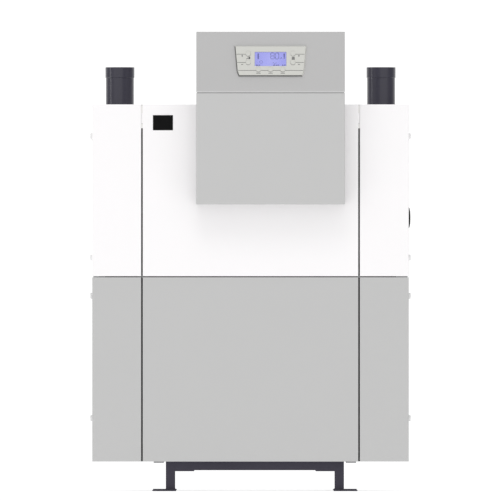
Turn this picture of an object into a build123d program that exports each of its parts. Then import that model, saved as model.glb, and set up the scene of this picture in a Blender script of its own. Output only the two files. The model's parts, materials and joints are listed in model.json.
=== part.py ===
from build123d import *
import math
import os

# A floor-standing gas boiler with two heat engines side by side in one casing.
# Millimetres, +Z up, +X to the right seen from the front, +Y to the back.
# The origin is on the floor under the middle of the casing.

# Clearances
FIT_GAP = 0.3
RUNNING_GAP = 0.05
TOUCH = 0.01

# Casing
CASING_WIDTH = 900.0
CASING_DEPTH = 640.0
CASING_TOP = 1100.0
SHEET = 1.2
BEND_RADIUS = 2.5
RETURN_DEPTH = 18.0
SEAM_X = 308.5
SEAM_GAP = 3.8
BELT_Z = 610.0
BELT_GAP = 3.0
HOOK_TOP_DROP = 24.0
HOOK_HEIGHT = 30.0
HOOK_SETBACK = 0.4
COVER_FLANGE = 15.0
SCREW_LEVELS = (208.0, 555.6, 664.5, 1010.0)
SCREW_HEAD_RADIUS = 8.5
SCREW_HEAD_HEIGHT = 6.3
SCREW_HEAD_CHAMFER = 1.5
SCREW_RADIUS = 3.0
SCREW_GRIP = 5.0
VENT_ROWS = 7
VENT_PITCH = 22.0
VENT_LENGTH = 150.0
VENT_HEIGHT = 7.0
VENT_X = 230.0
VENT_LOW_Z = 880.0

# Cable grommet in the right side
GROMMET_Z = 779.0
GROMMET_SETBACK = 230.0
GROMMET_RADIUS = 31.0
GROMMET_HEIGHT = 6.3
GROMMET_NECK_RADIUS = 25.0
GROMMET_LIP_RADIUS = 28.0
GROMMET_LIP_DEPTH = 4.0
GROMMET_CROWN = ((0.9, 0.55), (0.55, 0.9), (0.2, 1.0))

# Stand
STAND_X = 12.5
STAND_HEIGHT = 84.5
LEG_SPACING_X = 482.0
LEG_SPACING_Y = 500.0
TUBE_WIDTH = 25.0
TUBE_DEPTH = 25.0
TUBE_WALL = 2.0
STAND_PLATE = 3.0
FLOOR_PLATE_X = 68.0
FLOOR_PLATE_Y = 60.0
FLOOR_PLATE_LAP = 4.5
ANCHOR_SPACING_X = 546.0
ANCHOR_HOLE_RADIUS = 5.5
GUSSET_LENGTH = 56.0

# Base pan
PAN_SHEET = 1.5
PAN_FLANGE = 25.0
RUNNER_SPACING = 548.0
RUNNER_WIDTH = 28.0
RUNNER_THICKNESS = 4.0

# Casing frame
POST = 30.0
POST_WALL = 2.0

# Heat engines, mirrored about the middle of the casing
ENGINE_Z = 600.0
ENGINE_GAP = 15.0
SHELL_FLUE_GAP = 19.0
SHELL_WALL = 3.0
SHELL_SETBACK = 65.0
SHELL_CHAMFER = 15.0
SHELL_RIM = 10.0
SHELL_RIM_THICKNESS = 5.0
SHELL_BEAD_HEIGHT = 3.0
SHELL_BEAD_WIDTH = 14.0
SHELL_BEAD_GAP = 18.0
DOOR_THICKNESS = 12.0
BURNER_RADIUS = 35.0
BURNER_WALL = 1.0
BURNER_LENGTH = 210.0
NUT_INSET = 6.5
NUT_COUNT = 6
NUT_FLATS = 10.0
NUT_HEIGHT = 6.5
PORT_RADIUS = 12.0
PORT_HEIGHT = 9.0
PORT_X = 75.0
PORT_Z = -60.0
SADDLE_WIDTH = 160.0
SADDLE_HEIGHT = 40.0
SADDLE_FLOOR = 10.0
FRONT_SADDLE_INSET = 20.0
REAR_SADDLE_INSET = 90.0

# Fan: the impeller turns in a scroll that blows down into the burner door's inlet
FAN_RISE = 145.0
FAN_SETBACK = 105.0
FAN_DEPTH = 60.0
FAN_WALL = 2.5
SCROLL_START_RADIUS = 68.0
SCROLL_END_RADIUS = 98.0
SCROLL_START_ANGLE = -130.0
SCROLL_END_ANGLE = 180.0
SCROLL_POINTS = 12
OUTLET_INNER_X = -46.0
OUTLET_DROP = 95.0
DUCT_ROOF_DROP = 10.0
DUCT_MOUTH = 25.0
FAN_INLET_RADIUS = 36.0
IMPELLER_RADIUS = 60.0
IMPELLER_EYE_RADIUS = 38.0
IMPELLER_GAP = 4.0
IMPELLER_PLATE = 1.5
HUB_RADIUS = 14.0
SHAFT_RADIUS = 4.0
SHAFT_HOLE_RADIUS = 6.0
BLADE_COUNT = 9
BLADE_ROOT_RADIUS = 24.0
BLADE_SWEEP = 52.0
BLADE_THICKNESS = 1.4
BLADE_BOW = 0.62
BLADE_SWELL = 1.4
MOTOR_RADIUS = 38.0
MOTOR_LENGTH = 43.0
MOTOR_BORE_DEPTH = 34.0
MIXER_RADIUS = 38.0
MIXER_WALL = 4.0
MIXER_LENGTH = 47.0
MIXER_FLANGE_RADIUS = 46.0
MIXER_FLANGE = 6.0
INLET_HALF_WIDTH = 28.0

# Gas valve and gas pipes
VALVE_HALF_WIDTH = 28.0
VALVE_BOTTOM_DROP = 105.0
VALVE_DEPTH = 40.0
COIL_RADIUS = 13.0
COIL_LENGTH = 22.0
COIL_SPACING = 31.0
GAS_HEADER_RADIUS = 20.0
GAS_PIPE_RADIUS = 16.85
GAS_THREAD_RADIUS = 16.6
GAS_THREAD_LENGTH = 25.0
GAS_RISER_RADIUS = 10.0
GAS_Z = 150.0

# Flue way
FLUE_INSET = 76.0
FLUE_SETBACK = 150.0
FLUE_RADIUS = 40.0
FLUE_WALL = 1.2
FLUE_TOP = 1211.0
SOCKET_DEPTH = 29.5
SOCKET_GAP = 0.3
SEAL_HEIGHT = 3.0
SEAL_GROOVE = 0.5
COLLAR_TOP_RISE = 1.3
COLLAR_HEIGHT = 6.5
COLLAR_WALL = 1.7
SUMP_Z = 350.0
SUMP_BEND = 40.0
SUMP_TOP = 480.0

# Water and condensate connections
WATER_HEADER_RADIUS = 27.0
WATER_PIPE_RADIUS = 24.15
WATER_THREAD_RADIUS = 23.9
WATER_THREAD_LENGTH = 30.0
PIPE_WALL = 3.2
WATER_BRANCH_RADIUS = 14.0
WATER_HEADER_INSET = 45.0
WATER_BRANCH_LENGTH = 45.0
SUPPLY_Z = 700.0
RETURN_Z = 500.0
HEADER_OVERHANG = 30.0
STUB_REACH = 90.0
PIPE_HOLE_GAP = 3.0
TRAP_INSET = 104.0
TRAP_RADIUS = 28.0
TRAP_LOW = 195.0
TRAP_HEIGHT = 88.0
TRAP_PIPE_RADIUS = 10.0
CONDENSATE_HEADER_RADIUS = 14.5
CONDENSATE_PIPE_RADIUS = 13.0
CONDENSATE_SPIGOT_RADIUS = 12.5
CONDENSATE_SPIGOT_LENGTH = 25.0
CONDENSATE_WALL = 2.0
CONDENSATE_OFFSET = 58.0
CONDENSATE_Z = 240.0
CONDENSATE_STUB_X = 120.0
DRAIN_X = -100.0
DRAIN_PIPE_RADIUS = 8.0
DRAIN_Z = 180.0
DRAIN_BODY_RADIUS = 15.0
DRAIN_BODY_HEIGHT = 44.0
DRAIN_SPINDLE_RADIUS = 5.0
DRAIN_NECK = 12.0
LEVER_LENGTH = 62.0
LEVER_WIDTH = 14.0
LEVER_THICKNESS = 4.0

# Control box
BOX_X = 57.0
BOX_WIDTH = 422.0
BOX_TOP = 1306.0
FASCIA_HEIGHT = 173.0
COVER_HEIGHT = 317.0
BOX_SEAM_GAP = 3.0
BOX_DEPTH = 90.0
FASCIA_LEAN = 8.0
BOX_BEND = 2.0
BOX_LIP = 15.0
BOX_TRAY_DEPTH = 30.0
COVER_BACK_GAP = 0.6
BOARD_WIDTH = 260.0
BOARD_HEIGHT = 150.0
BOARD_THICKNESS = 1.6
BOARD_RISE = 64.0
BOARD_STANDOFF = 22.0
BOARD_FOOT_INSET = 10.0
BOARD_FOOT_HALF = 4.0
# Middle, height over the board's foot, width, height and depth of each component
BOARD_PARTS = (
    (-88.0, 95.0, 52.0, 44.0, 36.0),
    (-20.0, 105.0, 20.0, 28.0, 16.0),
    (8.0, 105.0, 20.0, 28.0, 16.0),
    (36.0, 105.0, 20.0, 28.0, 16.0),
    (86.0, 92.0, 34.0, 34.0, 4.0),
    (0.0, 16.0, 210.0, 13.0, 14.0),
)

# Control panel on the leaning fascia, measured along and out of the fascia from the panel's middle
PANEL_RISE = 89.0
BEZEL_TOP_HALF = 102.9
BEZEL_LOW_HALF = 96.4
BEZEL_FOOT_HALF = 90.9
BEZEL_HALF_HEIGHT = 44.2
BEZEL_LOW_V = -30.0
BEZEL_HEIGHT = 7.0
BEZEL_WALL = 2.0
BEZEL_TAPER = 25.0
BEZEL_BOSSES = ((-69.0, -25.0), (69.0, -25.0), (-40.0, 33.5), (40.0, 33.5))
BEZEL_BOSS_HALF = 2.5
WINDOW_WIDTH = 90.0
WINDOW_HEIGHT = 40.4
WINDOW_V = 5.4
WINDOW_THICKNESS = 1.5
DISPLAY_WIDTH = 96.0
DISPLAY_HEIGHT = 41.6
PANEL_BOARD_DEPTH = 2.4
SWITCH_HALF = 3.0
BUTTON_RADIUS = 7.0
BUTTON_PROUD = 1.2
BUTTON_TRAVEL = 1.2
BUTTON_COLLAR = 1.5
BUTTON_COLLAR_THICKNESS = 1.0
BUTTON_STEM_RADIUS = 2.5
BUTTON_STEM_END = 0.6
BUTTON_SIDE_U = 63.5
BUTTON_SIDE_V = (20.8, -4.1)
BUTTON_ROW_U = 34.5
BUTTON_ROW_V = -24.4
GROOVE_SIDE_V = (19.0, -4.6)
GROOVE_ROW_V = -27.6
GROOVE_WIDTH = 1.4
GROOVE_DEPTH = 0.8
CUTOUT_HALF_WIDTH = 75.0
CUTOUT_LOW_V = -33.0
CUTOUT_HIGH_V = 38.0

# Derived planes and faces
CASING_HALF = CASING_WIDTH / 2
FRONT = -CASING_DEPTH / 2
BACK = CASING_DEPTH / 2
FRAME_FRONT = FRONT + RETURN_DEPTH + FIT_GAP
FRAME_BACK = BACK - SHEET - PAN_SHEET - 2 * FIT_GAP
FRAME_SIDE = CASING_HALF - SHEET - PAN_SHEET - 2 * FIT_GAP
PAN_TOP = STAND_HEIGHT + PAN_SHEET
FRAME_TOP = CASING_TOP - SHEET
BELT_LOW = BELT_Z - BELT_GAP / 2
BELT_HIGH = BELT_Z + BELT_GAP / 2
PANEL_SIDE = SEAM_X - SEAM_GAP / 2
CORNER_SIDE = SEAM_X + SEAM_GAP / 2
GROMMET_Y = FRONT + GROMMET_SETBACK
FLUE_X = CASING_HALF - FLUE_INSET
FLUE_Y = BACK - FLUE_SETBACK
SHELL_RADIUS = (FLUE_X - FLUE_RADIUS - SHELL_FLUE_GAP - ENGINE_GAP) / 2
ENGINE_X = ENGINE_GAP + SHELL_RADIUS
DOOR_RADIUS = SHELL_RADIUS + SHELL_RIM
FAN_FRONT = FRONT + FAN_SETBACK
FAN_BACK = FAN_FRONT + FAN_DEPTH
SHELL_FRONT = FAN_BACK + SHELL_SETBACK
DOOR_FRONT = SHELL_FRONT - DOOR_THICKNESS
WATER_HEADER_Y = BACK - WATER_HEADER_INSET
SHELL_BACK = WATER_HEADER_Y - WATER_BRANCH_LENGTH
SHELF_Z = ENGINE_Z - SHELL_RADIUS - SADDLE_FLOOR
SHELF_FRONT_Y = SHELL_FRONT + FRONT_SADDLE_INSET
SHELF_BACK_Y = FLUE_Y - REAR_SADDLE_INSET
SHELL_BEAD_Y = ((SHELF_FRONT_Y + SHELF_BACK_Y) / 2, FLUE_Y - FLUE_RADIUS - SHELL_BEAD_GAP)
STUB_END_Y = BACK + STUB_REACH
TRAP_X = FLUE_X - TRAP_INSET
CONDENSATE_Y = FLUE_Y + CONDENSATE_OFFSET
OUTLET_OUTER_X = -SCROLL_END_RADIUS
FAN_X = ENGINE_X - (OUTLET_OUTER_X + OUTLET_INNER_X) / 2
FAN_Z = ENGINE_Z + FAN_RISE
VALVE_Y = FAN_FRONT - MIXER_FLANGE - VALVE_DEPTH / 2
VALVE_BOTTOM = FAN_Z - VALVE_BOTTOM_DROP
PIPE_BORE = FLUE_RADIUS - FLUE_WALL
SOCKET_BORE = FLUE_RADIUS + SOCKET_GAP
SOCKET_RADIUS = SOCKET_BORE + FLUE_WALL
BOX_FRONT = FRONT - BOX_DEPTH
BOX_SEAM_Z = BOX_TOP - FASCIA_HEIGHT
BOX_BOTTOM = BOX_SEAM_Z - COVER_HEIGHT
BOARD_LOW_Z = BOX_BOTTOM + BOARD_RISE
PANEL_Z = BOX_SEAM_Z + PANEL_RISE
FASCIA_FOOT = BOX_SEAM_Z + BOX_SEAM_GAP / 2
LEAN = math.radians(FASCIA_LEAN)
PANEL_Y = BOX_FRONT + (PANEL_Z - FASCIA_FOOT) * math.tan(LEAN)
PANEL_PLANE = Plane(
    origin=(BOX_X, PANEL_Y, PANEL_Z), x_dir=(1, 0, 0), z_dir=(0, -math.cos(LEAN), math.sin(LEAN))
)


def block(x_span, y_span, z_span):
    """A box between two corners, given as a span along each axis."""
    low = (min(x_span), min(y_span), min(z_span))
    size = [abs(span[1] - span[0]) for span in (x_span, y_span, z_span)]
    return Pos(*low) * Box(*size, align=(Align.MIN, Align.MIN, Align.MIN))


def rod_x(radius, x_span, y, z):
    """A cylinder along X."""
    length = abs(x_span[1] - x_span[0])
    return Pos(sum(x_span) / 2, y, z) * Cylinder(radius, length, rotation=(0, 90, 0))


def rod_y(radius, x, y_span, z):
    """A cylinder along Y."""
    length = abs(y_span[1] - y_span[0])
    return Pos(x, sum(y_span) / 2, z) * Cylinder(radius, length, rotation=(90, 0, 0))


def rod_z(radius, x, y, z_span):
    """A cylinder along Z."""
    length = abs(z_span[1] - z_span[0])
    return Pos(x, y, sum(z_span) / 2) * Cylinder(radius, length)


def turned_y(points, x, z):
    """A body turned about an axis along Y from a profile of (radius, y) points."""
    return Pos(x, 0, z) * revolve(make_face(Polyline(*points, close=True)), Axis.Y)


def turned_z(points, x, y):
    """A body turned about an upright axis from a profile of (radius, z) points."""
    profile = Plane.XZ * make_face(Polyline(*points, close=True))
    return Pos(x, y, 0) * revolve(profile, Axis.Z)


def prism_y(face, y_front, y_back):
    """A face drawn in X and Z, given thickness along Y."""
    return Pos(0, y_back, 0) * extrude(Plane.XZ * face, amount=y_back - y_front)


def prism_x(points, x_span):
    """A profile of (y, z) points, given length along X."""
    face = Plane.YZ * make_face(Polyline(*points, close=True))
    return Pos(x_span[0], 0, 0) * extrude(face, amount=x_span[1] - x_span[0])


def on_panel(shape):
    """A shape drawn in the control panel's own plane, set in its place."""
    return PANEL_PLANE * shape


def tube(x_span, y_span, z_span, along, wall):
    """A rectangular tube, open at both ends of the axis it lies along."""
    spans = {"x": x_span, "y": y_span, "z": z_span}
    hollow = {name: (min(s) + wall, max(s) - wall) for name, s in spans.items()}
    hollow[along] = (min(spans[along]) - 1, max(spans[along]) + 1)
    return block(x_span, y_span, z_span) - block(hollow["x"], hollow["y"], hollow["z"])


def upright_edges_at(shape, x, y):
    """The upright edges of a shape that stand at one place in plan."""
    return [
        edge
        for edge in shape.edges().filter_by(Axis.Z)
        if abs(edge.center().X - x) < TOUCH and abs(edge.center().Y - y) < TOUCH
    ]


def both_sides(shape):
    """A shape and its mirror image about the middle of the casing."""
    return [shape, mirror(shape, about=Plane.YZ)]


def save(name, *shapes):
    """Write one node, as one solid or as a group of separate solids."""
    shape = shapes[0] if len(shapes) == 1 else Compound(children=list(shapes))
    export_step(shape, f"parts/{name}.step")


def stand_corners():
    """Middle of each leg in plan, with the signs of its side and end."""
    for side in (-1, 1):
        for end in (-1, 1):
            yield STAND_X + side * LEG_SPACING_X / 2, end * LEG_SPACING_Y / 2, side, end


def make_stand():
    """Welded stand of rectangular tube, with its feet and gussets."""
    half_width = TUBE_WIDTH / 2
    half_depth = TUBE_DEPTH / 2
    beam_low = STAND_HEIGHT - TUBE_DEPTH
    legs = []
    plates = []
    gussets = []
    for x, y, side, end in stand_corners():
        x_span = (x - half_width, x + half_width)
        y_span = (y - half_depth, y + half_depth)
        legs.append(tube(x_span, y_span, (STAND_PLATE, STAND_HEIGHT), "z", TUBE_WALL))

        inner = x - side * (half_width + FLOOR_PLATE_LAP)
        outer = inner + side * FLOOR_PLATE_X
        plate = block((inner, outer), (y - FLOOR_PLATE_Y / 2, y + FLOOR_PLATE_Y / 2), (0, STAND_PLATE))
        hole_x = STAND_X + side * ANCHOR_SPACING_X / 2
        plates.append(plate - rod_z(ANCHOR_HOLE_RADIUS, hole_x, y, (-1, STAND_PLATE + 1)))

        # The gusset lies under both beams and is notched round the leg.
        outer_x = x + side * half_width
        inner_x = x - side * half_width
        beam_y = y + end * half_width
        notch_y = y - end * half_depth
        outline = Polyline(
            (inner_x, beam_y),
            (inner_x - side * GUSSET_LENGTH, beam_y),
            (inner_x - side * GUSSET_LENGTH, beam_y - end * TUBE_WIDTH),
            (inner_x, notch_y - end * GUSSET_LENGTH),
            (outer_x, notch_y - end * GUSSET_LENGTH),
            (outer_x, notch_y),
            (inner_x, notch_y),
            close=True,
        )
        gussets.append(Pos(0, 0, beam_low - STAND_PLATE) * extrude(make_face(outline), amount=STAND_PLATE))
    save("stand_legs", *legs)
    save("floor_plates", *plates)
    save("corner_gussets", *gussets)

    beam_z = (beam_low, STAND_HEIGHT)
    inner_half = LEG_SPACING_X / 2 - half_width
    across = (STAND_X - inner_half, STAND_X + inner_half)
    along = (half_depth - LEG_SPACING_Y / 2, LEG_SPACING_Y / 2 - half_depth)
    crossbeams = []
    side_beams = []
    for sign in (-1, 1):
        y = sign * LEG_SPACING_Y / 2
        crossbeams.append(tube(across, (y - half_width, y + half_width), beam_z, "x", TUBE_WALL))
        x = STAND_X + sign * LEG_SPACING_X / 2
        side_beams.append(tube((x - half_width, x + half_width), along, beam_z, "y", TUBE_WALL))
    save("stand_crossbeams", *crossbeams)
    save("stand_side_beams", *side_beams)


def make_base():
    """Floor of the casing with its upturned flanges, and the strips under it."""
    side = CASING_HALF - SHEET - FIT_GAP
    back = BACK - SHEET - FIT_GAP
    flange_z = (STAND_HEIGHT, STAND_HEIGHT + PAN_FLANGE)
    pan = block((-side, side), (FRAME_FRONT, back), (STAND_HEIGHT, PAN_TOP))
    pan += block((-side, side), (back - PAN_SHEET, back), flange_z)
    for sign in (-1, 1):
        pan += block((sign * side, sign * (side - PAN_SHEET)), (FRAME_FRONT, back), flange_z)
        ear_x = (sign * side, sign * (CORNER_SIDE + SHEET + FIT_GAP))
        pan += block(ear_x, (FRONT + BEND_RADIUS + FIT_GAP, FRAME_FRONT), (STAND_HEIGHT, PAN_TOP))
    save("base_pan", pan)

    runners = []
    for sign in (-1, 1):
        x = STAND_X + sign * RUNNER_SPACING / 2
        x_span = (x - RUNNER_WIDTH / 2, x + RUNNER_WIDTH / 2)
        runners.append(block(x_span, (FRAME_FRONT, back), (STAND_HEIGHT - RUNNER_THICKNESS, STAND_HEIGHT)))
    save("pan_runners", *runners)


def make_frame():
    """Posts and rails that carry the panels and the heat engines."""
    posts = []
    rails = []
    shelf = []
    upright = (PAN_TOP, FRAME_TOP)
    front_y = (FRAME_FRONT, FRAME_FRONT + POST)
    back_y = (FRAME_BACK - POST, FRAME_BACK)
    door_inner = SEAM_X - POST / 2
    door_outer = SEAM_X + POST / 2
    side_inner = FRAME_SIDE - POST
    top_z = (FRAME_TOP - POST, FRAME_TOP)
    belt_z = (BELT_Z - POST / 2, BELT_Z + POST / 2)
    depth_y = (FRAME_FRONT + POST, FRAME_BACK - POST)
    shelf_z = (SHELF_Z - POST, SHELF_Z)
    for sign in (-1, 1):
        side_x = (sign * FRAME_SIDE, sign * side_inner)
        for y_span in (front_y, back_y):
            post = tube(side_x, y_span, upright, "z", POST_WALL)
            hole_x = (sign * (FRAME_SIDE - 3 * POST_WALL), sign * CASING_HALF)
            for z in SCREW_LEVELS:
                post -= rod_x(SCREW_RADIUS + FIT_GAP, hole_x, sum(y_span) / 2, z)
            posts.append(post)
        posts.append(tube((sign * door_inner, sign * door_outer), front_y, upright, "z", POST_WALL))
        for z_span in (top_z, belt_z):
            rails.append(tube(side_x, depth_y, z_span, "y", POST_WALL))
            rails.append(tube((sign * door_outer, sign * side_inner), front_y, z_span, "x", POST_WALL))
        shelf.append(tube(side_x, depth_y, shelf_z, "y", POST_WALL))
    for z_span in (top_z, belt_z):
        rails.append(tube((-door_inner, door_inner), front_y, z_span, "x", POST_WALL))
    rails.append(tube((-side_inner, side_inner), back_y, top_z, "x", POST_WALL))
    for y in (SHELF_FRONT_Y, SHELF_BACK_Y):
        shelf.append(tube((-side_inner, side_inner), (y - POST / 2, y + POST / 2), shelf_z, "x", POST_WALL))
    save("frame_posts", *posts)
    save("frame_rails", *rails)
    save("shelf_rails", *shelf)


def under_cover():
    """The space that the top cover's plate takes behind the panels' front skins."""
    side = CASING_HALF - SHEET
    return block((-side, side), (FRONT + SHEET, BACK + 1), (FRAME_TOP - FIT_GAP, CASING_TOP + 1))


def corner_panel(low_z, high_z, levels):
    """Right-hand corner panel: a front strip folded round into the whole side."""
    z_span = (low_z, high_z)
    inner = CASING_HALF - SHEET
    panel = block((CORNER_SIDE, CASING_HALF), (FRONT, FRONT + SHEET), z_span)
    panel += block((inner, CASING_HALF), (FRONT, BACK), z_span)
    panel += block((CORNER_SIDE, CORNER_SIDE + SHEET), (FRONT, FRONT + RETURN_DEPTH), z_span)
    outer_bends = upright_edges_at(panel, CASING_HALF, FRONT) + upright_edges_at(panel, CORNER_SIDE, FRONT)
    panel = fillet(outer_bends, BEND_RADIUS)
    inner_bends = upright_edges_at(panel, inner, FRONT + SHEET)
    inner_bends += upright_edges_at(panel, CORNER_SIDE + SHEET, FRONT + SHEET)
    panel = fillet(inner_bends, BEND_RADIUS - SHEET)
    for y in (FRAME_FRONT + POST / 2, FRAME_BACK - POST / 2):
        for z in levels:
            panel -= rod_x(SCREW_RADIUS + FIT_GAP, (inner - 1, CASING_HALF + 1), y, z)
    return panel - under_cover()


def front_tray(z_span, closed_top):
    """Front panel with its edges folded back, open behind."""
    low, high = z_span
    panel = block((-PANEL_SIDE, PANEL_SIDE), (FRONT, FRONT + RETURN_DEPTH), z_span)
    hollow_top = high - SHEET if closed_top else high + 1
    hollow_x = (SHEET - PANEL_SIDE, PANEL_SIDE - SHEET)
    panel -= block(hollow_x, (FRONT + SHEET, FRONT + RETURN_DEPTH + 1), (low + SHEET, hollow_top))
    bends = upright_edges_at(panel, -PANEL_SIDE, FRONT) + upright_edges_at(panel, PANEL_SIDE, FRONT)
    return fillet(bends, SHEET)


def make_panels():
    """Outer sheet-metal panels of the casing."""
    upper = corner_panel(BELT_HIGH, CASING_TOP, SCREW_LEVELS[2:])
    lower = corner_panel(STAND_HEIGHT, BELT_LOW, SCREW_LEVELS[:2])
    save("left_panel_upper", mirror(upper, about=Plane.YZ))
    save("left_panel_lower", mirror(lower, about=Plane.YZ))
    save("right_panel_lower", lower)
    grommet_hole = rod_x(GROMMET_NECK_RADIUS + FIT_GAP, (CASING_HALF - 2 * SHEET, CASING_HALF + 1),
                         GROMMET_Y, GROMMET_Z)
    save("right_panel_upper", upper - grommet_hole)

    front_upper = front_tray((BELT_HIGH, CASING_TOP), False) - under_cover()
    hook_z = (CASING_TOP - HOOK_TOP_DROP - HOOK_HEIGHT, CASING_TOP - HOOK_TOP_DROP)
    hook_y = (FRONT + BEND_RADIUS, FRONT + BEND_RADIUS + SHEET)
    for sign in (-1, 1):
        hook_x = (sign * (PANEL_SIDE - SHEET), sign * (CORNER_SIDE - HOOK_SETBACK))
        front_upper += block(hook_x, hook_y, hook_z)
    save("front_panel_upper", front_upper)
    save("front_panel_lower", front_tray((STAND_HEIGHT, BELT_LOW), True))

    side = CASING_HALF - SHEET - FIT_GAP
    back = BACK - SHEET - FIT_GAP
    flange_z = (CASING_TOP - COVER_FLANGE, CASING_TOP)
    cover = block((-side, side), (FRONT + SHEET + FIT_GAP, back), (FRAME_TOP, CASING_TOP))
    cover += block((-side, side), (back - SHEET, back), flange_z)
    for sign in (-1, 1):
        cover += block((sign * side, sign * (side - SHEET)), (FRAME_FRONT, back), flange_z)
    for sign in (-1, 1):
        hole_radius = FLUE_RADIUS + FIT_GAP + COLLAR_WALL + FIT_GAP
        cover -= rod_z(hole_radius, sign * FLUE_X, FLUE_Y, (FRAME_TOP - 1, CASING_TOP + 1))
    save("top_cover", cover)

    panel = block((-side, side), (BACK - SHEET, BACK), (STAND_HEIGHT, CASING_TOP))
    through = (BACK - SHEET - 1, BACK + 1)
    for x, z, radius in (
        (0, SUPPLY_Z, WATER_PIPE_RADIUS),
        (0, RETURN_Z, WATER_PIPE_RADIUS),
        (0, GAS_Z, GAS_PIPE_RADIUS),
        (CONDENSATE_STUB_X, CONDENSATE_Z, CONDENSATE_PIPE_RADIUS),
    ):
        panel -= rod_y(radius + PIPE_HOLE_GAP, x, through, z)
    slot = Rectangle(VENT_LENGTH, VENT_HEIGHT)
    for x in (-VENT_X, VENT_X):
        for row in range(VENT_ROWS):
            vent = Pos(x, VENT_LOW_Z + row * VENT_PITCH) * slot
            panel -= prism_y(vent, *through)
    save("back_panel", panel)


def make_casing_fittings():
    """Round-headed screws that hold the corner panels, and the cable grommet."""
    tip = FRAME_SIDE - SCREW_GRIP
    face = CASING_HALF
    head = face + SCREW_HEAD_HEIGHT
    profile = (
        (0, tip),
        (SCREW_RADIUS, tip),
        (SCREW_RADIUS, face),
        (SCREW_HEAD_RADIUS, face),
        (SCREW_HEAD_RADIUS, head - SCREW_HEAD_CHAMFER),
        (SCREW_HEAD_RADIUS - 2 * SCREW_HEAD_CHAMFER, head),
        (0, head),
    )
    screw = Rot(0, 90, 0) * turned_z(profile, 0, 0)
    screws = []
    for y in (FRAME_FRONT + POST / 2, FRAME_BACK - POST / 2):
        for z in SCREW_LEVELS:
            screws += both_sides(Pos(0, y, z) * screw)
    save("casing_screws", *screws)

    inner = CASING_HALF - SHEET
    profile = (
        (0, inner - GROMMET_LIP_DEPTH),
        (GROMMET_NECK_RADIUS - GROMMET_LIP_DEPTH, inner - GROMMET_LIP_DEPTH),
        (GROMMET_LIP_RADIUS, inner),
        (GROMMET_NECK_RADIUS, inner),
        (GROMMET_NECK_RADIUS, face),
        (GROMMET_RADIUS, face),
        *[(GROMMET_RADIUS * out, face + GROMMET_HEIGHT * up) for out, up in GROMMET_CROWN],
        (0, face + GROMMET_HEIGHT),
    )
    save("cable_grommet", Pos(0, GROMMET_Y, GROMMET_Z) * Rot(0, 90, 0) * turned_z(profile, 0, 0))


def exchanger_shell():
    """Right-hand heat exchanger: a round stainless shell, open to the burner door in front."""
    outer = [
        (0, SHELL_BACK),
        (SHELL_RADIUS - SHELL_CHAMFER, SHELL_BACK),
        (SHELL_RADIUS, SHELL_BACK - SHELL_CHAMFER),
    ]
    for y in sorted(SHELL_BEAD_Y, reverse=True):
        outer.append((SHELL_RADIUS, y + SHELL_BEAD_WIDTH / 2))
        outer.append((SHELL_RADIUS + SHELL_BEAD_HEIGHT, y))
        outer.append((SHELL_RADIUS, y - SHELL_BEAD_WIDTH / 2))
    rim_back = SHELL_FRONT + SHELL_RIM_THICKNESS
    bore = SHELL_RADIUS - SHELL_WALL
    outer += [
        (SHELL_RADIUS, rim_back),
        (DOOR_RADIUS, rim_back),
        (DOOR_RADIUS, SHELL_FRONT),
        (bore, SHELL_FRONT),
        (bore, SHELL_BACK - SHELL_CHAMFER),
        (bore - SHELL_CHAMFER, SHELL_BACK - SHELL_WALL),
        (0, SHELL_BACK - SHELL_WALL),
    ]
    shell = turned_y(outer, ENGINE_X, ENGINE_Z)
    shell -= rod_z(PIPE_BORE, ENGINE_X, FLUE_Y, (ENGINE_Z - SHELL_RADIUS - 1, ENGINE_Z))
    branch_y = (SHELL_BACK - 2 * SHELL_WALL, SHELL_BACK + 1)
    for z in (SUPPLY_Z, RETURN_Z):
        shell -= rod_y(WATER_BRANCH_RADIUS + FIT_GAP, ENGINE_X, branch_y, z)
    return shell


def burner_door():
    """Right-hand burner door with the fan's inlet duct and an igniter port."""
    door = rod_y(DOOR_RADIUS, ENGINE_X, (DOOR_FRONT, SHELL_FRONT), ENGINE_Z)
    top = FAN_Z - OUTLET_DROP
    duct = (
        (DOOR_FRONT + 1, ENGINE_Z - INLET_HALF_WIDTH),
        (DOOR_FRONT + 1, top - DUCT_ROOF_DROP),
        (FAN_BACK, top),
        (FAN_FRONT, top),
        (FAN_FRONT, top - DUCT_MOUTH),
        (FAN_BACK, ENGINE_Z - INLET_HALF_WIDTH),
    )
    door += prism_x(duct, (ENGINE_X - INLET_HALF_WIDTH, ENGINE_X + INLET_HALF_WIDTH))
    door += rod_y(PORT_RADIUS, ENGINE_X + PORT_X, (DOOR_FRONT - PORT_HEIGHT, DOOR_FRONT), ENGINE_Z + PORT_Z)
    return door


def door_nuts():
    """Hexagon nuts round the right-hand burner door."""
    nuts = []
    circle = DOOR_RADIUS - NUT_INSET
    for index in range(NUT_COUNT):
        angle = math.radians((index + 0.5) * 360 / NUT_COUNT)
        x = ENGINE_X + circle * math.cos(angle)
        z = ENGINE_Z + circle * math.sin(angle)
        hexagon = Pos(x, z) * RegularPolygon(NUT_FLATS / 2, 6, major_radius=False)
        nuts.append(prism_y(hexagon, DOOR_FRONT - NUT_HEIGHT, DOOR_FRONT))
    return nuts


def scroll_face(inset, drop):
    """Plan of the fan's scroll: its radius grows with the angle up to a straight outlet."""
    points = []
    for index in range(SCROLL_POINTS + 1):
        share = index / SCROLL_POINTS
        angle = math.radians(SCROLL_START_ANGLE + share * (SCROLL_END_ANGLE - SCROLL_START_ANGLE))
        radius = SCROLL_START_RADIUS + share * (SCROLL_END_RADIUS - SCROLL_START_RADIUS) - inset
        points.append((radius * math.cos(angle), radius * math.sin(angle)))
    curve = Spline(*points)
    inner_x = OUTLET_INNER_X - inset
    outlet = Polyline(
        points[-1],
        (points[-1][0], -drop),
        (inner_x, -drop),
        (inner_x, points[0][1]),
        points[0],
    )
    return Pos(FAN_X, FAN_Z) * make_face([curve, outlet])


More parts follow.
